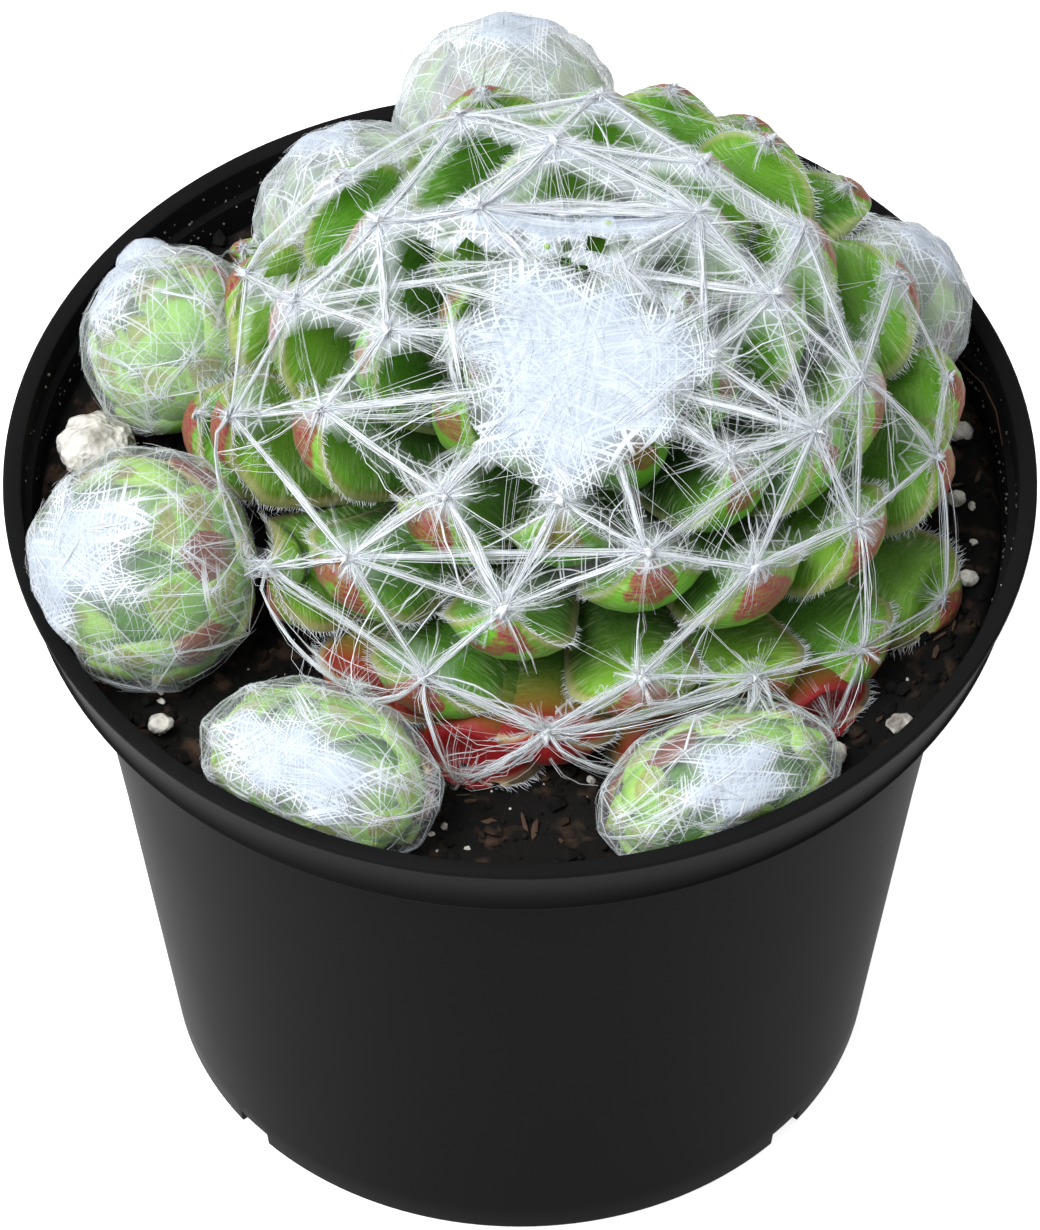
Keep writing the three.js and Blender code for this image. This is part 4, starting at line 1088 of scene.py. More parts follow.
def strand(a, b, side, pieces, gap=0.12, sag=0.0):
    """A thread from a to b, pushed aside by the vector side in its middle and arched clear of the leaves."""
    shares = even_shares(pieces + 1)
    chord = [a.lerp(b, s) + side * arch(s) for s in shares]
    lift = -sag
    for s, p in zip(shares[1:-1], chord[1:-1]):
        lift = max(lift, min(1.8, lift_needed(p, gap)) / arch(s) ** 0.5)
    path = []
    for s, p in zip(shares, chord):
        way = (p - WEB_HEART).normalized()
        path.append(clear_of_pot(p + way * (lift * arch(s) ** 0.5), 0.25))
    return path


def dome_normal(x, y):
    rho = math.hypot(x, y)
    slope = MOTHER_DOME * DOME_SHARPNESS / MOTHER_RADIUS * (rho / MOTHER_RADIUS) ** (DOME_SHARPNESS - 1)
    rho = max(rho, 1e-6)
    return (mother_point(slope * x / rho, slope * y / rho, 1) - MOTHER_CENTRE).normalized()


def crown_point(x, y, lift):
    return mother_point(x, y, dome_height(min(MOTHER_RADIUS, math.hypot(x, y)))) + dome_normal(x, y) * lift


nodes = {}
for leaf in mother_leaves:
    if leaf["n"] >= 0:
        x, y = leaf["rho"] * math.cos(leaf["azimuth"]), leaf["rho"] * math.sin(leaf["azimuth"])
        nodes[leaf["n"]] = leaf["tip"] + dome_normal(x, y) * TIP_LIFT

# Ropes: from, to, threads, width in mm. A place is a leaf's number, or a point of the crown as (x, y).
ROPES = [
    (17, (-6.5, 8.3), 14, 1.0), (17, 4, 9, 0.7), (4, (-9.0, 0.5), 10, 1.2), (12, 7, 8, 0.8),
    (12, 25, 8, 0.7), (12, 4, 6, 0.8), (12, (-8.8, -6.5), 9, 1.4), (25, 33, 9, 0.8), (25, 17, 5, 0.6),
    (25, 20, 7, 0.8), (20, 10, 16, 1.1), (20, (-6.5, -11.0), 9, 1.4), (7, (-6.5, -10.0), 10, 1.6),
    (7, 20, 5, 0.8), (2, (0.5, -13.0), 10, 1.2), (10, (3.8, -12.0), 12, 1.2), (10, 2, 6, 0.8),
    (10, 18, 12, 0.9), (18, 13, 8, 0.8), (18, 23, 9, 0.9), (18, 26, 7, 0.8), (15, 28, 7, 0.7),
    (15, 10, 9, 0.9), (15, 20, 6, 0.8), (15, 2, 9, 1.6), (15, 7, 8, 1.6), (28, 33, 8, 0.7),
    (28, 36, 12, 1.3), (28, 20, 5, 0.7), (36, 23, 10, 0.8), (36, 31, 12, 1.4), (31, 39, 9, 0.8),
    (23, 31, 8, 0.8), (26, 39, 8, 0.7), (26, 21, 7, 0.7), (26, 34, 6, 0.7), (13, 21, 6, 0.6),
    (13, (8.5, -6.0), 12, 1.4), (13, 5, 8, 1.0), (13, 10, 8, 0.9), (13, 26, 6, 0.7), (8, 3, 9, 0.8),
    (8, 16, 9, 0.8), (8, 0, 9, 0.9), (8, (6.0, 7.2), 10, 1.2), (8, 13, 5, 0.7), (8, 21, 6, 0.6),
    (11, 16, 8, 0.8), (16, 21, 9, 0.8), (21, 29, 6, 0.7), (21, 34, 6, 0.7), (3, 1, 26, 2.6),
    (1, 9, 9, 0.9), (9, 14, 8, 0.7), (30, 14, 9, 0.6), (9, 17, 8, 0.8), (14, 6, 9, 0.8), (6, 11, 9, 0.8),
    (14, 3, 8, 0.7), (19, 1, 8, 0.7), (19, 11, 8, 0.7), (14, 19, 9, 0.8), (0, (9.0, -1.0), 10, 1.4),
    (0, 13, 5, 0.8), (0, 3, 6, 0.8), (3, (4.0, 8.5), 8, 1.0), (1, (-4.0, 8.0), 9, 1.0), (9, 4, 6, 0.8),
    (6, 3, 7, 0.8), (6, 1, 8, 0.9), (30, 17, 6, 0.6), (30, 25, 5, 0.6), (33, 20, 6, 0.7),
    (39, 52, 6, 0.7), (39, 47, 5, 0.6), (47, 34, 6, 0.6), (34, 42, 6, 0.6), (42, 29, 5, 0.6),
    (41, 28, 5, 0.6), (41, 33, 5, 0.6), (36, 44, 5, 0.7), (44, 31, 5, 0.7), (49, 36, 5, 0.7),
    (49, 28, 4, 0.6), (5, (7.5, -8.0), 8, 1.0)]


def place_of(place):
    if isinstance(place, int):
        return nodes[place].copy()
    return crown_point(0.8 * place[0], 0.8 * place[1] - 0.9, TIP_LIFT)


def sideways(a, b):
    """Unit vector across a thread, along the surface of the web."""
    return (b - a).cross((a + b) / 2 - WEB_HEART).normalized()


def fibre_bands(name, bands):
    """Bands of fine hairs as one mesh. Each is a thin flat lens along its path: (points, ways up, half
    widths, cover, hairs across it, lot). The banded finish breaks it up into single hairs."""
    points, faces, covers, weaves = [], [], [], []
    for path, ways, halves, cover, count, lot in bands:
        start, length = len(points), 0.0
        for k, p in enumerate(path):
            along = (path[min(k + 1, len(path) - 1)] - path[max(k - 1, 0)]).normalized()
            side = ways[k].cross(along).normalized()
            length += (p - path[k - 1]).length if k else 0.0
            aside, lens = side * halves[k], ways[k] * 0.03
            for across, q in ((-1, p - aside), (0, p + lens), (1, p + aside), (0, p - lens)):
                points.append(q[:])
                covers.append(0.0 if across else cover[k])
                weaves += [across * count / 2 + 37 * lot, 0.13 * length, 91 * lot]
            if k:
                a, b = start + 4 * (k - 1), start + 4 * k
                faces += [(a + i, b + i, b + (i + 1) % 4, a + (i + 1) % 4) for i in range(4)]
        faces += [(start, start + 1, start + 2, start + 3),
                  tuple(start + 4 * (len(path) - 1) + i for i in (3, 2, 1, 0))]
    piece = new_piece(name, points, faces)
    keep(piece, "cover", covers)
    keep(piece, "weave", weaves, "FLOAT_VECTOR")
    face_outwards(piece)
    bpy.ops.object.shade_smooth()
    return piece


# Bands of plant hair: hairs about 0.1 mm apart run along each band, close together in its middle and loose at
# its edges. The same coordinates carry the hairs together where a band narrows.
banded, tree, shader = new_material("plant_hair_banded", "#e8eef4", 0.65)
weave = add_node(tree, "ShaderNodeAttribute", "Vector", {}, attribute_name="weave")
cover = add_node(tree, "ShaderNodeAttribute", "Fac", {}, attribute_name="cover")
lines = add_node(tree, "ShaderNodeTexNoise", "Fac", {"Vector": weave, "Scale": 1.0, "Detail": 1.0})
lit = add_node(tree, "ShaderNodeMath", 0, {0: lines, 1: 1.9, 2: cover}, operation="MULTIPLY_ADD")
dense = add_node(tree, "ShaderNodeMapRange", 0, {"Value": lit, "From Min": 1.22, "From Max": 1.6})
tree.links.new(dense, shader.inputs["Alpha"])
shader.inputs["Specular IOR Level"].default_value = 0.2
shader.inputs["Sheen Weight"].default_value = 0.6


def add_band(bands, heart, path, halves, cover, count=None):
    """Adds a band of hair along a thread, turned away from the heart of its plant."""
    ways = [(p - heart).normalized() for p in path]
    bands.append((path, ways, halves, cover, count or 2 * max(halves) / HAIR_PITCH, draw.random()))


def wavy(path, across, reach):
    """Lets a thread wander to its sides by up to reach, but not at its ends."""
    waves, turn = draw.choice((1, 1, 2, 3)), draw.uniform(0, 2 * math.pi)
    amount = reach * draw.uniform(0.3, 1)
    return [p + across * (amount * math.sin(turn + 2 * math.pi * waves * t) * min(1, 5 * t * (1 - t)))
            for p, t in zip(path, even_shares(len(path)))]


ropes, links, bands, middles = [], [], [], []
for one, other, count, width in ROPES:
    if isinstance(one, int) and one not in nodes or isinstance(other, int) and other not in nodes:
        continue
    a, b = place_of(one), place_of(other)
    across = sideways(a, b)
    for lot, broad, closeness in ((0, 0.26, mix(0.9, 1.4, count / 16)), (1, 0.42, 0.5), (2, 1.05, 0.2)):
        aside = across * draw.gauss(0, 0.3 * width * lot)
        path = wavy(strand(a, b, aside, 8, 0.16 + 0.1 * lot), across, 0.16 * width)
        if lot == 0:
            middles.append(path)
        halves = [width * broad * (0.45 + 0.55 * arch(t) ** 0.6) * draw.uniform(0.6, 1.25)
                  for t in even_shares(9)]
        add_band(bands, WEB_HEART, path, halves, [closeness * draw.uniform(0.85, 1.1)] * 9,
                 max(3, 2 * max(halves) / HAIR_PITCH))
    for k in range(count):
        spread = width * draw.gauss(0, 0.24)
        start = a + any_way() * 0.25
        end = b + any_way() * (0.25 if isinstance(other, int) else width * 0.8)
        radius = draw.uniform(0.015, 0.035) if k % 5 else draw.uniform(0.04, 0.06)
        path = strand(start, end, across * spread, 8, 0.1 + 0.25 * draw.random())
        ropes.append((wavy(path, across, 0.14), [radius * draw.uniform(0.75, 1.2) for _ in path]))
numbers = sorted(nodes)
for i, n in enumerate(numbers):
    for m in numbers[i + 1:]:
        length = (nodes[n] - nodes[m]).length
        if length > LONGEST_LINK or draw.random() > mix(1.0, 0.2, length / LONGEST_LINK):
            continue
        for _ in range(draw.randint(1, 3)):
            a, b = nodes[n] + any_way() * 0.4, nodes[m] + any_way() * 0.4
            radius = draw.uniform(0.01, 0.026)
            links.append((strand(a, b, sideways(a, b) * draw.gauss(0, 0.6), 6, 0.1), [radius] * 7))
# The loose tangle that hangs along the lowest tips at the front.
for one, other in ((28, 36), (36, 31), (49, 36), (44, 31), (33, 28), (31, 52), (36, 44)):
    if one in nodes and other in nodes:
        across = sideways(nodes[one], nodes[other])
        for k in range(TANGLE_THREADS):
            a, b = nodes[one] + any_way() * 0.9, nodes[other] + any_way() * 0.9
            path = wavy(strand(a, b, across * draw.gauss(0.3, 1.3), 7, 0.1, 0.3), across, 0.5)
            links.append((path, [draw.uniform(0.012, 0.03)] * 8))
            if k % 4 == 0:
                add_band(bands, WEB_HEART, path, [draw.uniform(0.1, 0.5) for _ in path],
                         [draw.uniform(0.2, 0.7)] * 8, 7)
# Threads that bridge from rope to rope and branch where they meet one.
for _ in range(BRIDGE_TRIES):
    here, there = draw.sample(middles, 2)
    a, b = here[draw.randint(1, 7)], there[draw.randint(1, 7)]
    if not 2.5 < (a - b).length < 11 or len(links) > LINKS_AT_MOST:
        continue
    across = sideways(a, b)
    path = wavy(strand(a, b, across * draw.gauss(0, 0.5), 6, 0.1), across, 0.2)
    half = draw.uniform(0.06, 0.2)
    add_band(bands, WEB_HEART, path, [half] * 7, [draw.uniform(0.4, 0.9)] * 7, 5)
    for _ in range(3):
        radius = draw.uniform(0.01, 0.022)
        start, end = here[draw.randint(1, 7)].lerp(a, 0.75), there[draw.randint(1, 7)].lerp(b, 0.75)
        path = wavy(strand(start, end, across * draw.gauss(0, 0.4), 6, 0.1), across, 0.2)
        links.append((path, [radius] * 7))
# Rays from each tip to the felt, for the leaves round the crown.
for n in range(0, 20):
    if n not in nodes:
        continue
    for _ in range(12 if n < 9 else 5):
        x, y = nodes[n].x - MOTHER_CENTRE.x, (nodes[n] - MOTHER_CENTRE).dot(LEAN_BACK)
        a = math.atan2(y + FELT_FORWARD, x) + draw.gauss(0, 0.35)
        r = FELT_RADIUS * draw.uniform(0.55, 1.05)
        start = nodes[n] + any_way() * 0.3
        end = crown_point(r * math.cos(a), r * math.sin(a) - FELT_FORWARD, draw.uniform(0.5, 1.2))
        radius = draw.uniform(0.01, 0.028)
        links.append((strand(start, end, sideways(start, end) * draw.gauss(0, 0.4), 6, 0.1), [radius] * 7))
# Bands and short hairs that stand round each tip like a star.
stars = []
for n, at in nodes.items():
    neighbours = sorted(nodes.values(), key=lambda p: (p - at).length)[1:7]
    if n < 14:
        neighbours.append(crown_point(0, -FELT_FORWARD, 0.8))
    for near in neighbours:
        reach = min(0.75 * (near - at).length, draw.uniform(2.5, 6)) / (near - at).length
        start = at + any_way() * 0.35
        path = strand(start, at.lerp(near, reach) + any_way() * 1.3, any_way() * 0.3, 5, 0.12)
        halves = [mix(0.2, draw.uniform(0.7, 1.4), t) for t in even_shares(6)]
        add_band(bands, WEB_HEART, path, halves, [mix(0.6, -0.1, t) for t in even_shares(6)])
    for _ in range(3):
        way = any_way() * draw.uniform(0.7, 1.3)
        middle = at + (at - WEB_HEART).normalized() * 0.35
        path = [middle - way + any_way() * 0.2, middle + any_way() * 0.15, middle + way]
        add_band(bands, WEB_HEART, path, [0.25, 0.65, 0.2], [0.3, 1.1, 0.0], 9)
    for _ in range(STAR_THREADS):
        way = (draw.choice(neighbours) - at).normalized() + any_way() * 0.5
        reach = draw.uniform(0.8, 3.2)
        end = at + way * reach
        start = at + any_way() * 0.25
        path = strand(start, end, any_way() * 0.08 * reach, 3, 0.08)
        stars.append((path, [0.035, 0.03, 0.018, 0.006]))
    for _ in range(STAR_HAIRS):
        way = any_way()
        path = [at - way * 0.1, at + way * 0.45 + any_way() * 0.1, at + way * 0.8]
        stars.append((path, [0.04, 0.04, 0.008]))
web_ropes = fibres("cobweb_mother_ropes", ropes + links + stars)

for _ in range(FELT_BANDS):
    r, a = 1.05 * FELT_RADIUS * math.sqrt(draw.random()), draw.uniform(0, 2 * math.pi)
    x, y = r * math.cos(a), r * math.sin(a) - FELT_FORWARD
    turn, length, lift = draw.uniform(0, math.pi), draw.uniform(6.0, 14.0), draw.uniform(0.5, 1.3)
    path = [crown_point(x + (t - 0.5) * math.cos(turn) * length, y + (t - 0.5) * math.sin(turn) * length,
                        0.35 + lift * arch(t)) for t in even_shares(7)]
    halves = [0.2 + draw.uniform(0.8, 1.7) * arch(t) ** 0.5 for t in even_shares(7)]
    add_band(bands, WEB_HEART, path, halves, [0.4 * arch(t) ** 0.5 for t in even_shares(7)])
mother_bands = fibre_bands("mother_bands", bands)
mother_bands.data.materials.append(banded)
felt = []
for _ in range(FELT_THREADS):
    r, a = FELT_RADIUS * math.sqrt(draw.random()) * draw.uniform(0.75, 1.1), draw.uniform(0, 2 * math.pi)
    x, y = r * math.cos(a), r * math.sin(a) - FELT_FORWARD
    turn, length = draw.uniform(0, math.pi), draw.uniform(3.0, 11.0)
    dx, dy = math.cos(turn) * length / 2, math.sin(turn) * length / 2
    bow = draw.gauss(0, 0.5)
    lift = draw.uniform(1.3, 1.8)
    path = []
    for t in even_shares(5):
        run, aside = 2 * t - 1, 0.3 * bow * arch(t)
        path.append(crown_point(x + run * dx - aside * dy, y + run * dy + aside * dx,
                                lift * (0.45 + 0.55 * arch(t))))
    radius = draw.uniform(0.008, 0.02)
    felt.append((path, [radius * 0.5, radius, radius, radius, radius * 0.5]))
felt_threads = fibres("felt_threads", felt)


def cap_blank(limit, segments, rings):
    """The top of a unit ball, down to a polar angle."""
    bpy.ops.object.select_all(action="DESELECT")
    bpy.ops.mesh.primitive_uv_sphere_add(segments=segments, ring_count=rings, radius=1, location=(0, 0, 0))
    bpy.ops.object.mode_set(mode="EDIT")
    bpy.ops.mesh.select_all(action="SELECT")
    bpy.ops.mesh.bisect(plane_co=(0, 0, math.cos(limit)), plane_no=(0, 0, -1), clear_outer=True)
    bpy.ops.object.mode_set(mode="OBJECT")
    return bpy.context.object


def thicken(piece, thickness):
    """Gives a sheet its thickness, inwards."""
    pick(piece)
    solid = piece.modifiers.new("thickness", "SOLIDIFY")
    solid.thickness = thickness * MM
    solid.offset = -1
    bpy.ops.object.modifier_apply(modifier="thickness")
    bpy.ops.object.shade_smooth()


def polar_of(way):
    """Angle of a direction of the blank from the blank's middle."""
    return math.acos(max(-1.0, min(1.0, way.z)))


def veil(name, blank, place, cover, radius, lot, film):
    """A sheet of woven hair on a surface. cover gives how closely it covers at each place, and where that is
    next to nothing the sheet is open; film gives how much the finest hairs whiten it there. It is woven
    flat, as if rolled out from its middle over a ball."""
    shares, weaves = [], []
    for vertex in blank.data.vertices:
        way = vertex.co.normalized()
        shares.append(cover(way))
        reach = radius * polar_of(way) / max(1e-6, math.hypot(way.x, way.y))
        weaves += [way.x * reach, way.y * reach, 40.0 * lot]
        vertex.co = place(way) * MM
    keep(blank, "cover", shares)
    keep(blank, "weave", weaves, "FLOAT_VECTOR")
    keep(blank, "film", [film(share) for share in shares])
    work = bmesh.new()
    work.from_mesh(blank.data)
    bare = [vertex for vertex, share in zip(list(work.verts), shares) if share < 0.02]
    bmesh.ops.delete(work, geom=bare, context="VERTS")
    work.to_mesh(blank.data)
    work.free()
    blank.name = name
    thicken(blank, 0.08)
    return blank


# Woven plant hair: hairs 0.1 to 0.2 mm across and a few mm long lie in four directions over a haze of finer
# ones. Where it is thick the hairs close up to felt, where it is thin the leaves show between them.
woven, tree, shader = new_material("plant_hair_woven", "#dfe6ef", 0.75)
weave = add_node(tree, "ShaderNodeAttribute", "Vector", {}, attribute_name="weave")
cover = add_node(tree, "ShaderNodeAttribute", "Fac", {}, attribute_name="cover")
film = add_node(tree, "ShaderNodeAttribute", "Fac", {}, attribute_name="film")
warp = add_node(tree, "ShaderNodeTexNoise", "Color", {"Vector": weave, "Scale": 0.1, "Detail": 0.0})
bent = add_node(tree, "ShaderNodeVectorMath", 0, {0: warp, 1: (5.0, 5.0, 0.0), 2: weave},
                operation="MULTIPLY_ADD")
hairs = None
for index, turn in enumerate((12, 57, 98, 146)):
    comb = add_node(tree, "ShaderNodeMapping", 0,
                    {"Vector": bent, "Rotation": (0, 0, math.radians(turn)),
                     "Scale": (11.0, 0.24 - 0.02 * index, 1.0), "Location": (9.0 * index, 0, 0)},
                    vector_type="TEXTURE")
    layer = add_node(tree, "ShaderNodeTexNoise", "Fac", {"Vector": comb, "Scale": 1.0, "Detail": 0.0})
    if hairs is None:
        hairs = layer
    else:
        hairs = add_node(tree, "ShaderNodeMath", 0, {0: hairs, 1: layer}, operation="MAXIMUM")
nearer = add_node(tree, "ShaderNodeMath", 0, {0: cover, 1: 0.18, 2: hairs}, operation="MULTIPLY_ADD")
thick = add_node(tree, "ShaderNodeMapRange", 0,
                 {"Value": cover, "From Min": 0.1, "From Max": 0.7, "To Min": 0.35, "To Max": 0.95})
lines = add_node(tree, "ShaderNodeMapRange", 0,
                 {"Value": nearer, "From Min": 0.7, "From Max": 0.77, "To Max": thick})
haze = add_node(tree, "ShaderNodeMath", 0, {0: cover, 1: 2.4}, operation="POWER")
haze = add_node(tree, "ShaderNodeMath", 0, {0: haze, 1: film}, operation="ADD")
dense = add_node(tree, "ShaderNodeMath", 0, {0: lines, 1: haze}, operation="ADD", use_clamp=True)
present = add_node(tree, "ShaderNodeMapRange", 0, {"Value": cover, "From Min": 0.0, "From Max": 0.06})
alpha = add_node(tree, "ShaderNodeMath", 0, {0: dense, 1: present}, operation="MULTIPLY")
tree.links.new(alpha, shader.inputs["Alpha"])
# The felt is coloured lighter along its hairs and darker between them, a painted shade for the relief of the
# hairs, which has no bump.
shades = add_node(tree, "ShaderNodeMapRange", 0, {"Value": hairs, "From Min": 0.52, "From Max": 0.74})
felt_painted_relief = add_node(tree, "ShaderNodeMix", 2, {0: shades, 6: linear("#bbc6d4"), 7: linear("#d2dce8")},
                     data_type="RGBA")
closed = add_node(tree, "ShaderNodeMapRange", 0, {"Value": cover, "From Min": 0.3, "From Max": 0.8})
tone = add_node(tree, "ShaderNodeMix", 2, {0: closed, 6: linear("#e8eef4"), 7: felt_painted_relief}, data_type="RGBA")
tree.links.new(tone, shader.inputs["Base Color"])
shader.inputs["Specular IOR Level"].default_value = 0.15


def crown_cover(way):
    polar = polar_of(way) / (math.pi / 2)
    a = math.atan2(way.y, way.x)
    ragged = 1 + 0.1 * math.sin(3 * a + 1) + 0.07 * math.sin(7 * a) + 0.05 * math.sin(11 * a + 2)
    return smooth((ragged - polar * 1.2) / 0.5) ** 0.6


def on_crown(way):
    polar = polar_of(way) / (math.pi / 2)
    a = math.atan2(way.y, way.x)
    r = 1.35 * FELT_RADIUS * polar
    x, y = r * math.cos(a), r * math.sin(a) - FELT_FORWARD
    lumps = 0.3 * noise.noise(Vector((x * 0.4, y * 0.4, FELT_LIFT)))
    return crown_point(x, y, FELT_LIFT * (1 - 0.5 * polar ** 2) + lumps)


felt_sheet = veil("felt_sheet", cap_blank(math.pi / 2, 48, 36), on_crown, crown_cover, 9.0, 0,
                  lambda share: 0.0)


def dome_place(way):
    """Place on the dome for a direction of the blank: rolled out, from the crown to the lowest leaves."""
    rho = DOME_REACH * polar_of(way) / (math.pi / 2)
    flat = max(1e-6, math.hypot(way.x, way.y))
    return rho * way.x / flat, rho * way.y / flat


def on_dome(way):
    x, y = dome_place(way)
    p = crown_point(x, y, 0.25)
    nearest = min((at - p).length for at in nodes.values())
    p = p - dome_normal(x, y) * 0.9 * smooth(nearest / 6)
    return settle_mother(p + (p - WEB_HEART).normalized() * max(0.0, min(4.0, lift_needed(p, 0.34))))


# Where the web of the crown closes up beside the felt, as (x, y) on the dome: one broad band and one arc.
CLOSED_WEB = [[(-8, 11), (-2, 10.5), (4, 10.5), (10, 11)],
              [(-12.5, 9), (-7, 9), (-3, 8), (5, 6), (8.5, 2.5)]]


def beside(x, y, places):
    """Distance from (x, y) to a line through the places."""
    best = 99.0
    for (ax, ay), (bx, by) in zip(places, places[1:]):
        run = ((x - ax) * (bx - ax) + (y - ay) * (by - ay)) / ((bx - ax) ** 2 + (by - ay) ** 2)
        t = min(1.0, max(0.0, run))
        best = min(best, math.hypot(x - mix(ax, bx, t), y - mix(ay, by, t)))
    return best


def dome_cover(way):
    x, y = dome_place(way)
    p = crown_point(x, y, 0.25)
    nearest = min((at - p).length for at in nodes.values())
    to_rope = min((q - p).length for path in middles for q in path)
    behind = smooth((y + 12) / 30)
    patchy = 0.5 + 0.5 * noise.noise(Vector((x * 0.12, y * 0.12, 5.0)))
    close = 0.35 * math.exp(-(nearest / 1.6) ** 2)
    close += mix(0.12, 0.5, behind) * mix(0.6, 1.2, patchy) * math.exp(-(to_rope / 1.5) ** 2)
    ragged = noise.noise(Vector((x * 0.5, y * 0.5, 8.0)))
    closed = 0.85 * smooth((1.9 + ragged - beside(x, y, CLOSED_WEB[0])) / 1.3)
    closed = max(closed, 0.6 * smooth((1.2 + ragged - beside(x, y, CLOSED_WEB[1])) / 1.1))
    return max(closed, close) * smooth((DOME_REACH - math.hypot(x, y)) / 3)


dome_sheet = veil("dome_sheet", cap_blank(math.pi / 2, 110, 88), on_dome, dome_cover, 20.5, 3,
                  lambda share: 0.36 * smooth(share / 0.55))
for piece in (felt_sheet, dome_sheet):
    piece.data.materials.append(woven)
for piece in (web_ropes, felt_threads):
    piece.data.materials.append(hair_white)
felt_pad = joined("cobweb_mother_felt", [felt_threads, mother_bands, felt_sheet, dome_sheet])
for piece in (web_ropes, felt_pad):
    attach(piece, "root")
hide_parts("web_mother")


# ---- Cobweb on the chicks ----
# Each chick is wrapped the same way: threads fan from the tips of its outer leaves, a felt cap closes its
# crown, and a thin veil covers the rest of it. For each chick:
# felt cap's half angle in degrees, how closely the veil covers the rest, and its film.
CAPS = {"back": (30, 0.14, 0.25), "back_left": (26, 0.13, 0.2), "upper_left": (30, 0.1, 0.08),
        "left": (44, 0.08, 0.05), "front_left": (42, 0.1, 0.05), "front_right": (32, 0.1, 0.04),
        "right": (30, 0.12, 0.2), "bud": (100, 0.6, 0.4)}


def arc(offset, a, b, bulge, pieces):
    """A thread over the ball of a chick, from direction a to direction b."""
    path = []
    for k in range(pieces + 1):
        s = k / pieces
        way = a.slerp(b, s) if a.angle(b) > 0.01 else a
        chord = 0.978 * math.cos(a.angle(b) / 2) / math.cos((s - 0.5) * a.angle(b))
        path.append(clear_of_pot(offset.point(way, max(0.938, chord) + bulge * arch(s)), 0.3))
    return path


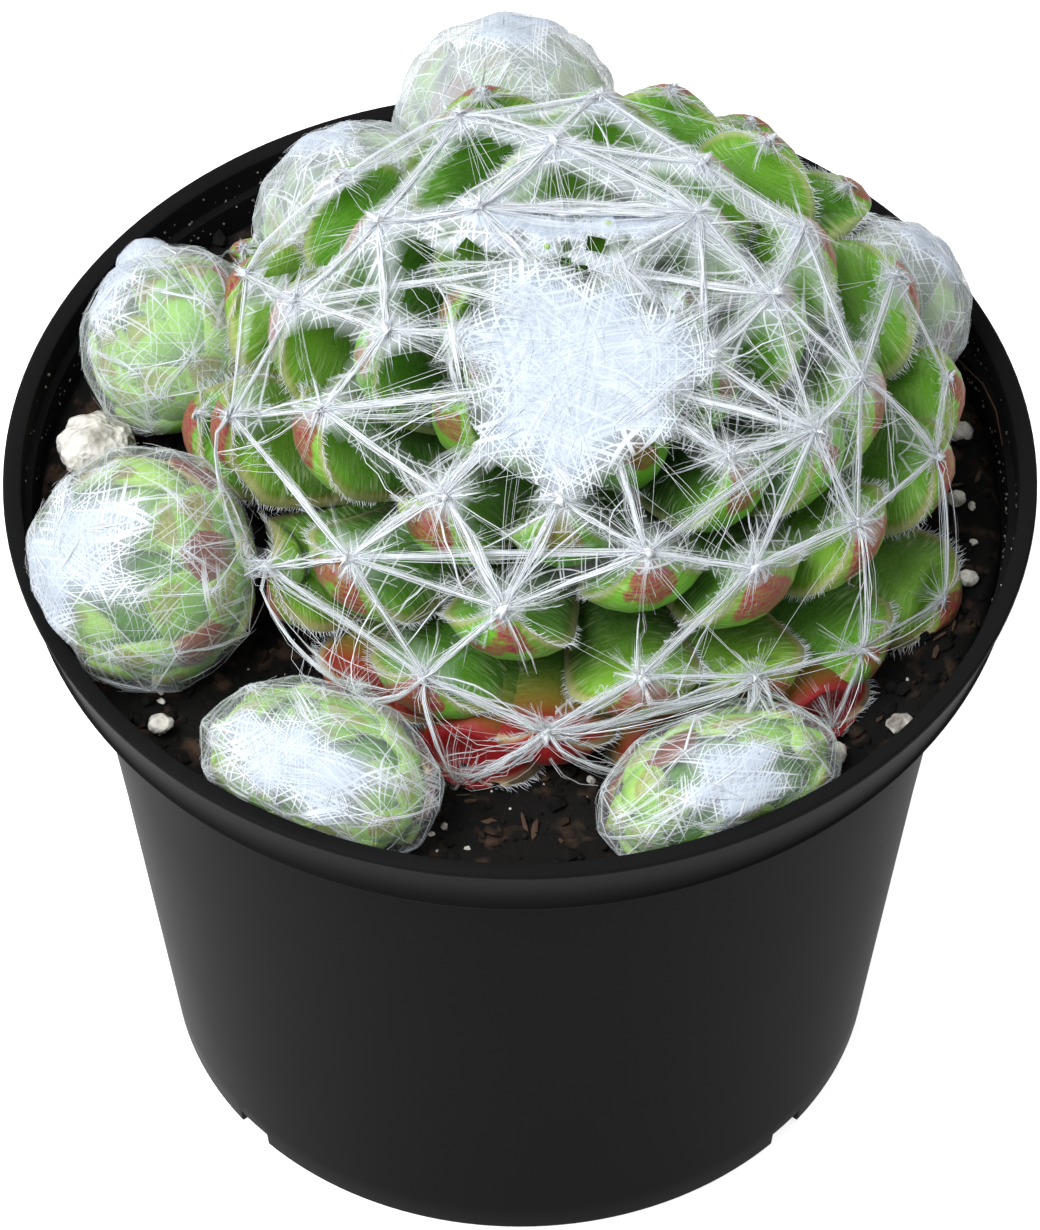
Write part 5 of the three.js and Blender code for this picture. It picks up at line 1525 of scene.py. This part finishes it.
for offset in offsets:
    across, round_ = offset_ways(offset)
    cap_degrees, thin, film = CAPS[offset.name]
    cap_angle = math.radians(cap_degrees)
    tips = [leaf["tip_way"] for leaf in chicks[offset.name][1]]
    size = (offset.size.x + offset.size.y + offset.size.z) / 30
    strands, wraps = [], []
    for tip in tips:
        goal = (tip + any_way() * draw.uniform(0.35, 0.8) + offset.crown * draw.uniform(0, 0.3)).normalized()
        add_band(wraps, offset.at, arc(offset, tip, goal, 0.008, 4),
                 [mix(0.1, draw.uniform(0.7, 1.5) * size ** 0.5, t) for t in even_shares(5)],
                 [mix(0.6, -0.1, t) for t in even_shares(5)])
        near = sorted(tips, key=lambda other: other.angle(tip))[1:6]
        for other in near:
            if other.angle(tip) < math.radians(75):
                if draw.random() < 0.35:
                    add_band(wraps, offset.at, arc(offset, tip, other, 0.01, 5),
                             [draw.uniform(0.12, 0.35)] * 6, [draw.uniform(0.2, 0.6)] * 6)
                for _ in range(draw.randint(0, 1)):
                    radius = draw.uniform(0.01, 0.022)
                    start = (tip + any_way() * 0.03).normalized()
                    end = (other + any_way() * 0.03).normalized()
                    strands.append((arc(offset, start, end, draw.uniform(0.0, 0.02), 4), [radius] * 5))
        for _ in range(int(4 * size)):
            goal = (tip + any_way() * draw.uniform(0.3, 0.95)).normalized()
            goal = (goal + offset.crown * draw.uniform(0, 0.5)).normalized()
            radius = draw.uniform(0.008, 0.02)
            start = (tip + any_way() * 0.02).normalized()
            strands.append((arc(offset, start, goal, draw.uniform(0.0, 0.015), 3),
                            [radius, radius, radius, radius * 0.4]))
    for _ in range(int(5 * size)):
        a = from_crown(offset, cap_angle * math.sqrt(draw.random()), draw.uniform(0, 2 * math.pi))
        b = (a + any_way() * draw.uniform(0.6, 1.1)).normalized()
        add_band(wraps, offset.at, arc(offset, a, b, 0.01, 5),
                 [0.15 + draw.uniform(0.7, 1.5) * arch(t) ** 0.5 for t in even_shares(6)],
                 [0.4 * arch(t) ** 0.5 for t in even_shares(6)])
    for _ in range(int(45 * size)):
        polar = cap_angle * math.sqrt(draw.random()) * draw.uniform(0.8, 1.25)
        a = from_crown(offset, polar, draw.uniform(0, 2 * math.pi))
        b = (a + any_way() * draw.uniform(0.3, 0.9)).normalized()
        radius = draw.uniform(0.008, 0.02)
        strands.append((arc(offset, a, b, draw.uniform(0.0, 0.02), 3),
                        [radius * 0.4, radius, radius, radius * 0.4]))
    threads = fibres(f"chick_web_{offset.name}", strands + chick_hairs[offset.name])
    threads.data.materials.append(hair_white)
    wrapping = fibre_bands(f"chick_bands_{offset.name}", wraps)
    wrapping.data.materials.append(banded)

    def on_ball(way):
        turned = across * way.x + round_ * way.y + offset.crown * way.z
        lumps = 0.01 * noise.noise(turned * 4 + Vector((offset.at.x, 0, 0)))
        tent = max(math.exp(-(tip.angle(turned) / 0.2) ** 2) for tip in tips)
        return clear_of_pot(offset.point(turned, 0.932 + 0.048 * tent + lumps), 0.35)

    def ball_cover(way):
        polar = polar_of(way)
        a = math.atan2(way.y, way.x)
        ragged = cap_angle * (1 + 0.14 * math.sin(2 * a + offset.at.x) + 0.1 * math.sin(5 * a + offset.at.y))
        edge = smooth((math.radians(122) - polar) / 0.35)
        turned = across * way.x + round_ * way.y + offset.crown * way.z
        close = max(math.exp(-(tip.angle(turned) / 0.13) ** 2) for tip in tips)
        body = thin + (0.9 - thin) * smooth((ragged * 1.15 - polar) / (0.8 * cap_angle))
        return min(1.0, body + 0.3 * close) * edge

    sheet = veil(f"chick_veil_{offset.name}", cap_blank(math.radians(124), 56, 44), on_ball, ball_cover,
                 10 * size, offset.at.x, lambda share, film=film: film)
    sheet.data.materials.append(woven)
    wrap = joined(f"cobweb_{offset.name}", [threads, wrapping, sheet])
    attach(wrap, "root")
    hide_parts(f"web_{offset.name}")


# ---- Floor, light and camera ----
# A white studio sweep with one large soft light to the upper left, seen from above through a long lens.
bpy.ops.object.select_all(action="DESELECT")
bpy.ops.mesh.primitive_plane_add(size=3, location=(0, 0, -0.0002))
floor = bpy.context.object
floor.name = "studio_floor"
paper, tree, shader = new_material("studio_paper_white", "#f4f4f4", 0.9)
shader.inputs["Emission Color"].default_value = linear("#ffffff")
shader.inputs["Emission Strength"].default_value = 0.75
floor.data.materials.append(paper)
floor.visible_diffuse = False


def lamp(name, azimuth, height, distance, size, power):
    """A square soft light, aimed at the plant. Azimuth is in degrees from the camera's side, to the right."""
    light = bpy.data.lights.new(name, "AREA")
    light.size = size
    light.energy = power
    stand = bpy.data.objects.new(name, light)
    bpy.context.collection.objects.link(stand)
    a, e = math.radians(azimuth), math.radians(height)
    way = Vector((math.sin(a) * math.cos(e), -math.cos(a) * math.cos(e), math.sin(e)))
    stand.location = Vector((0, 0, 0.06)) + way * distance
    stand.rotation_euler = (-way).to_track_quat("-Z", "Y").to_euler()


lamp("key_soft", -60, 55, 0.9, 0.55, 9.2)
lamp("fill_soft", 75, 35, 1.0, 0.6, 0.4)
world = bpy.data.worlds.new("studio")
bpy.context.scene.world = world
world.use_nodes = True
world.node_tree.nodes["Background"].inputs["Color"].default_value = (1, 1, 1, 1)
world.node_tree.nodes["Background"].inputs["Strength"].default_value = 0.52

lens = bpy.data.cameras.new("camera")
lens.lens = LENS
lens.sensor_width = SENSOR
lens.clip_start, lens.clip_end = 0.1, 20
camera = bpy.data.objects.new("camera", lens)
bpy.context.collection.objects.link(camera)
camera.location = (LIP_MIDDLE - UPWARDS * AIM_DROP + TOWARDS * CAMERA_DISTANCE) * MM
camera.rotation_euler = (-TOWARDS).to_track_quat("-Z", "Y").to_euler()
bpy.context.scene.camera = camera
bpy.context.scene.view_settings.view_transform = "Standard"
bpy.context.scene.cycles.transparent_max_bounces = 28
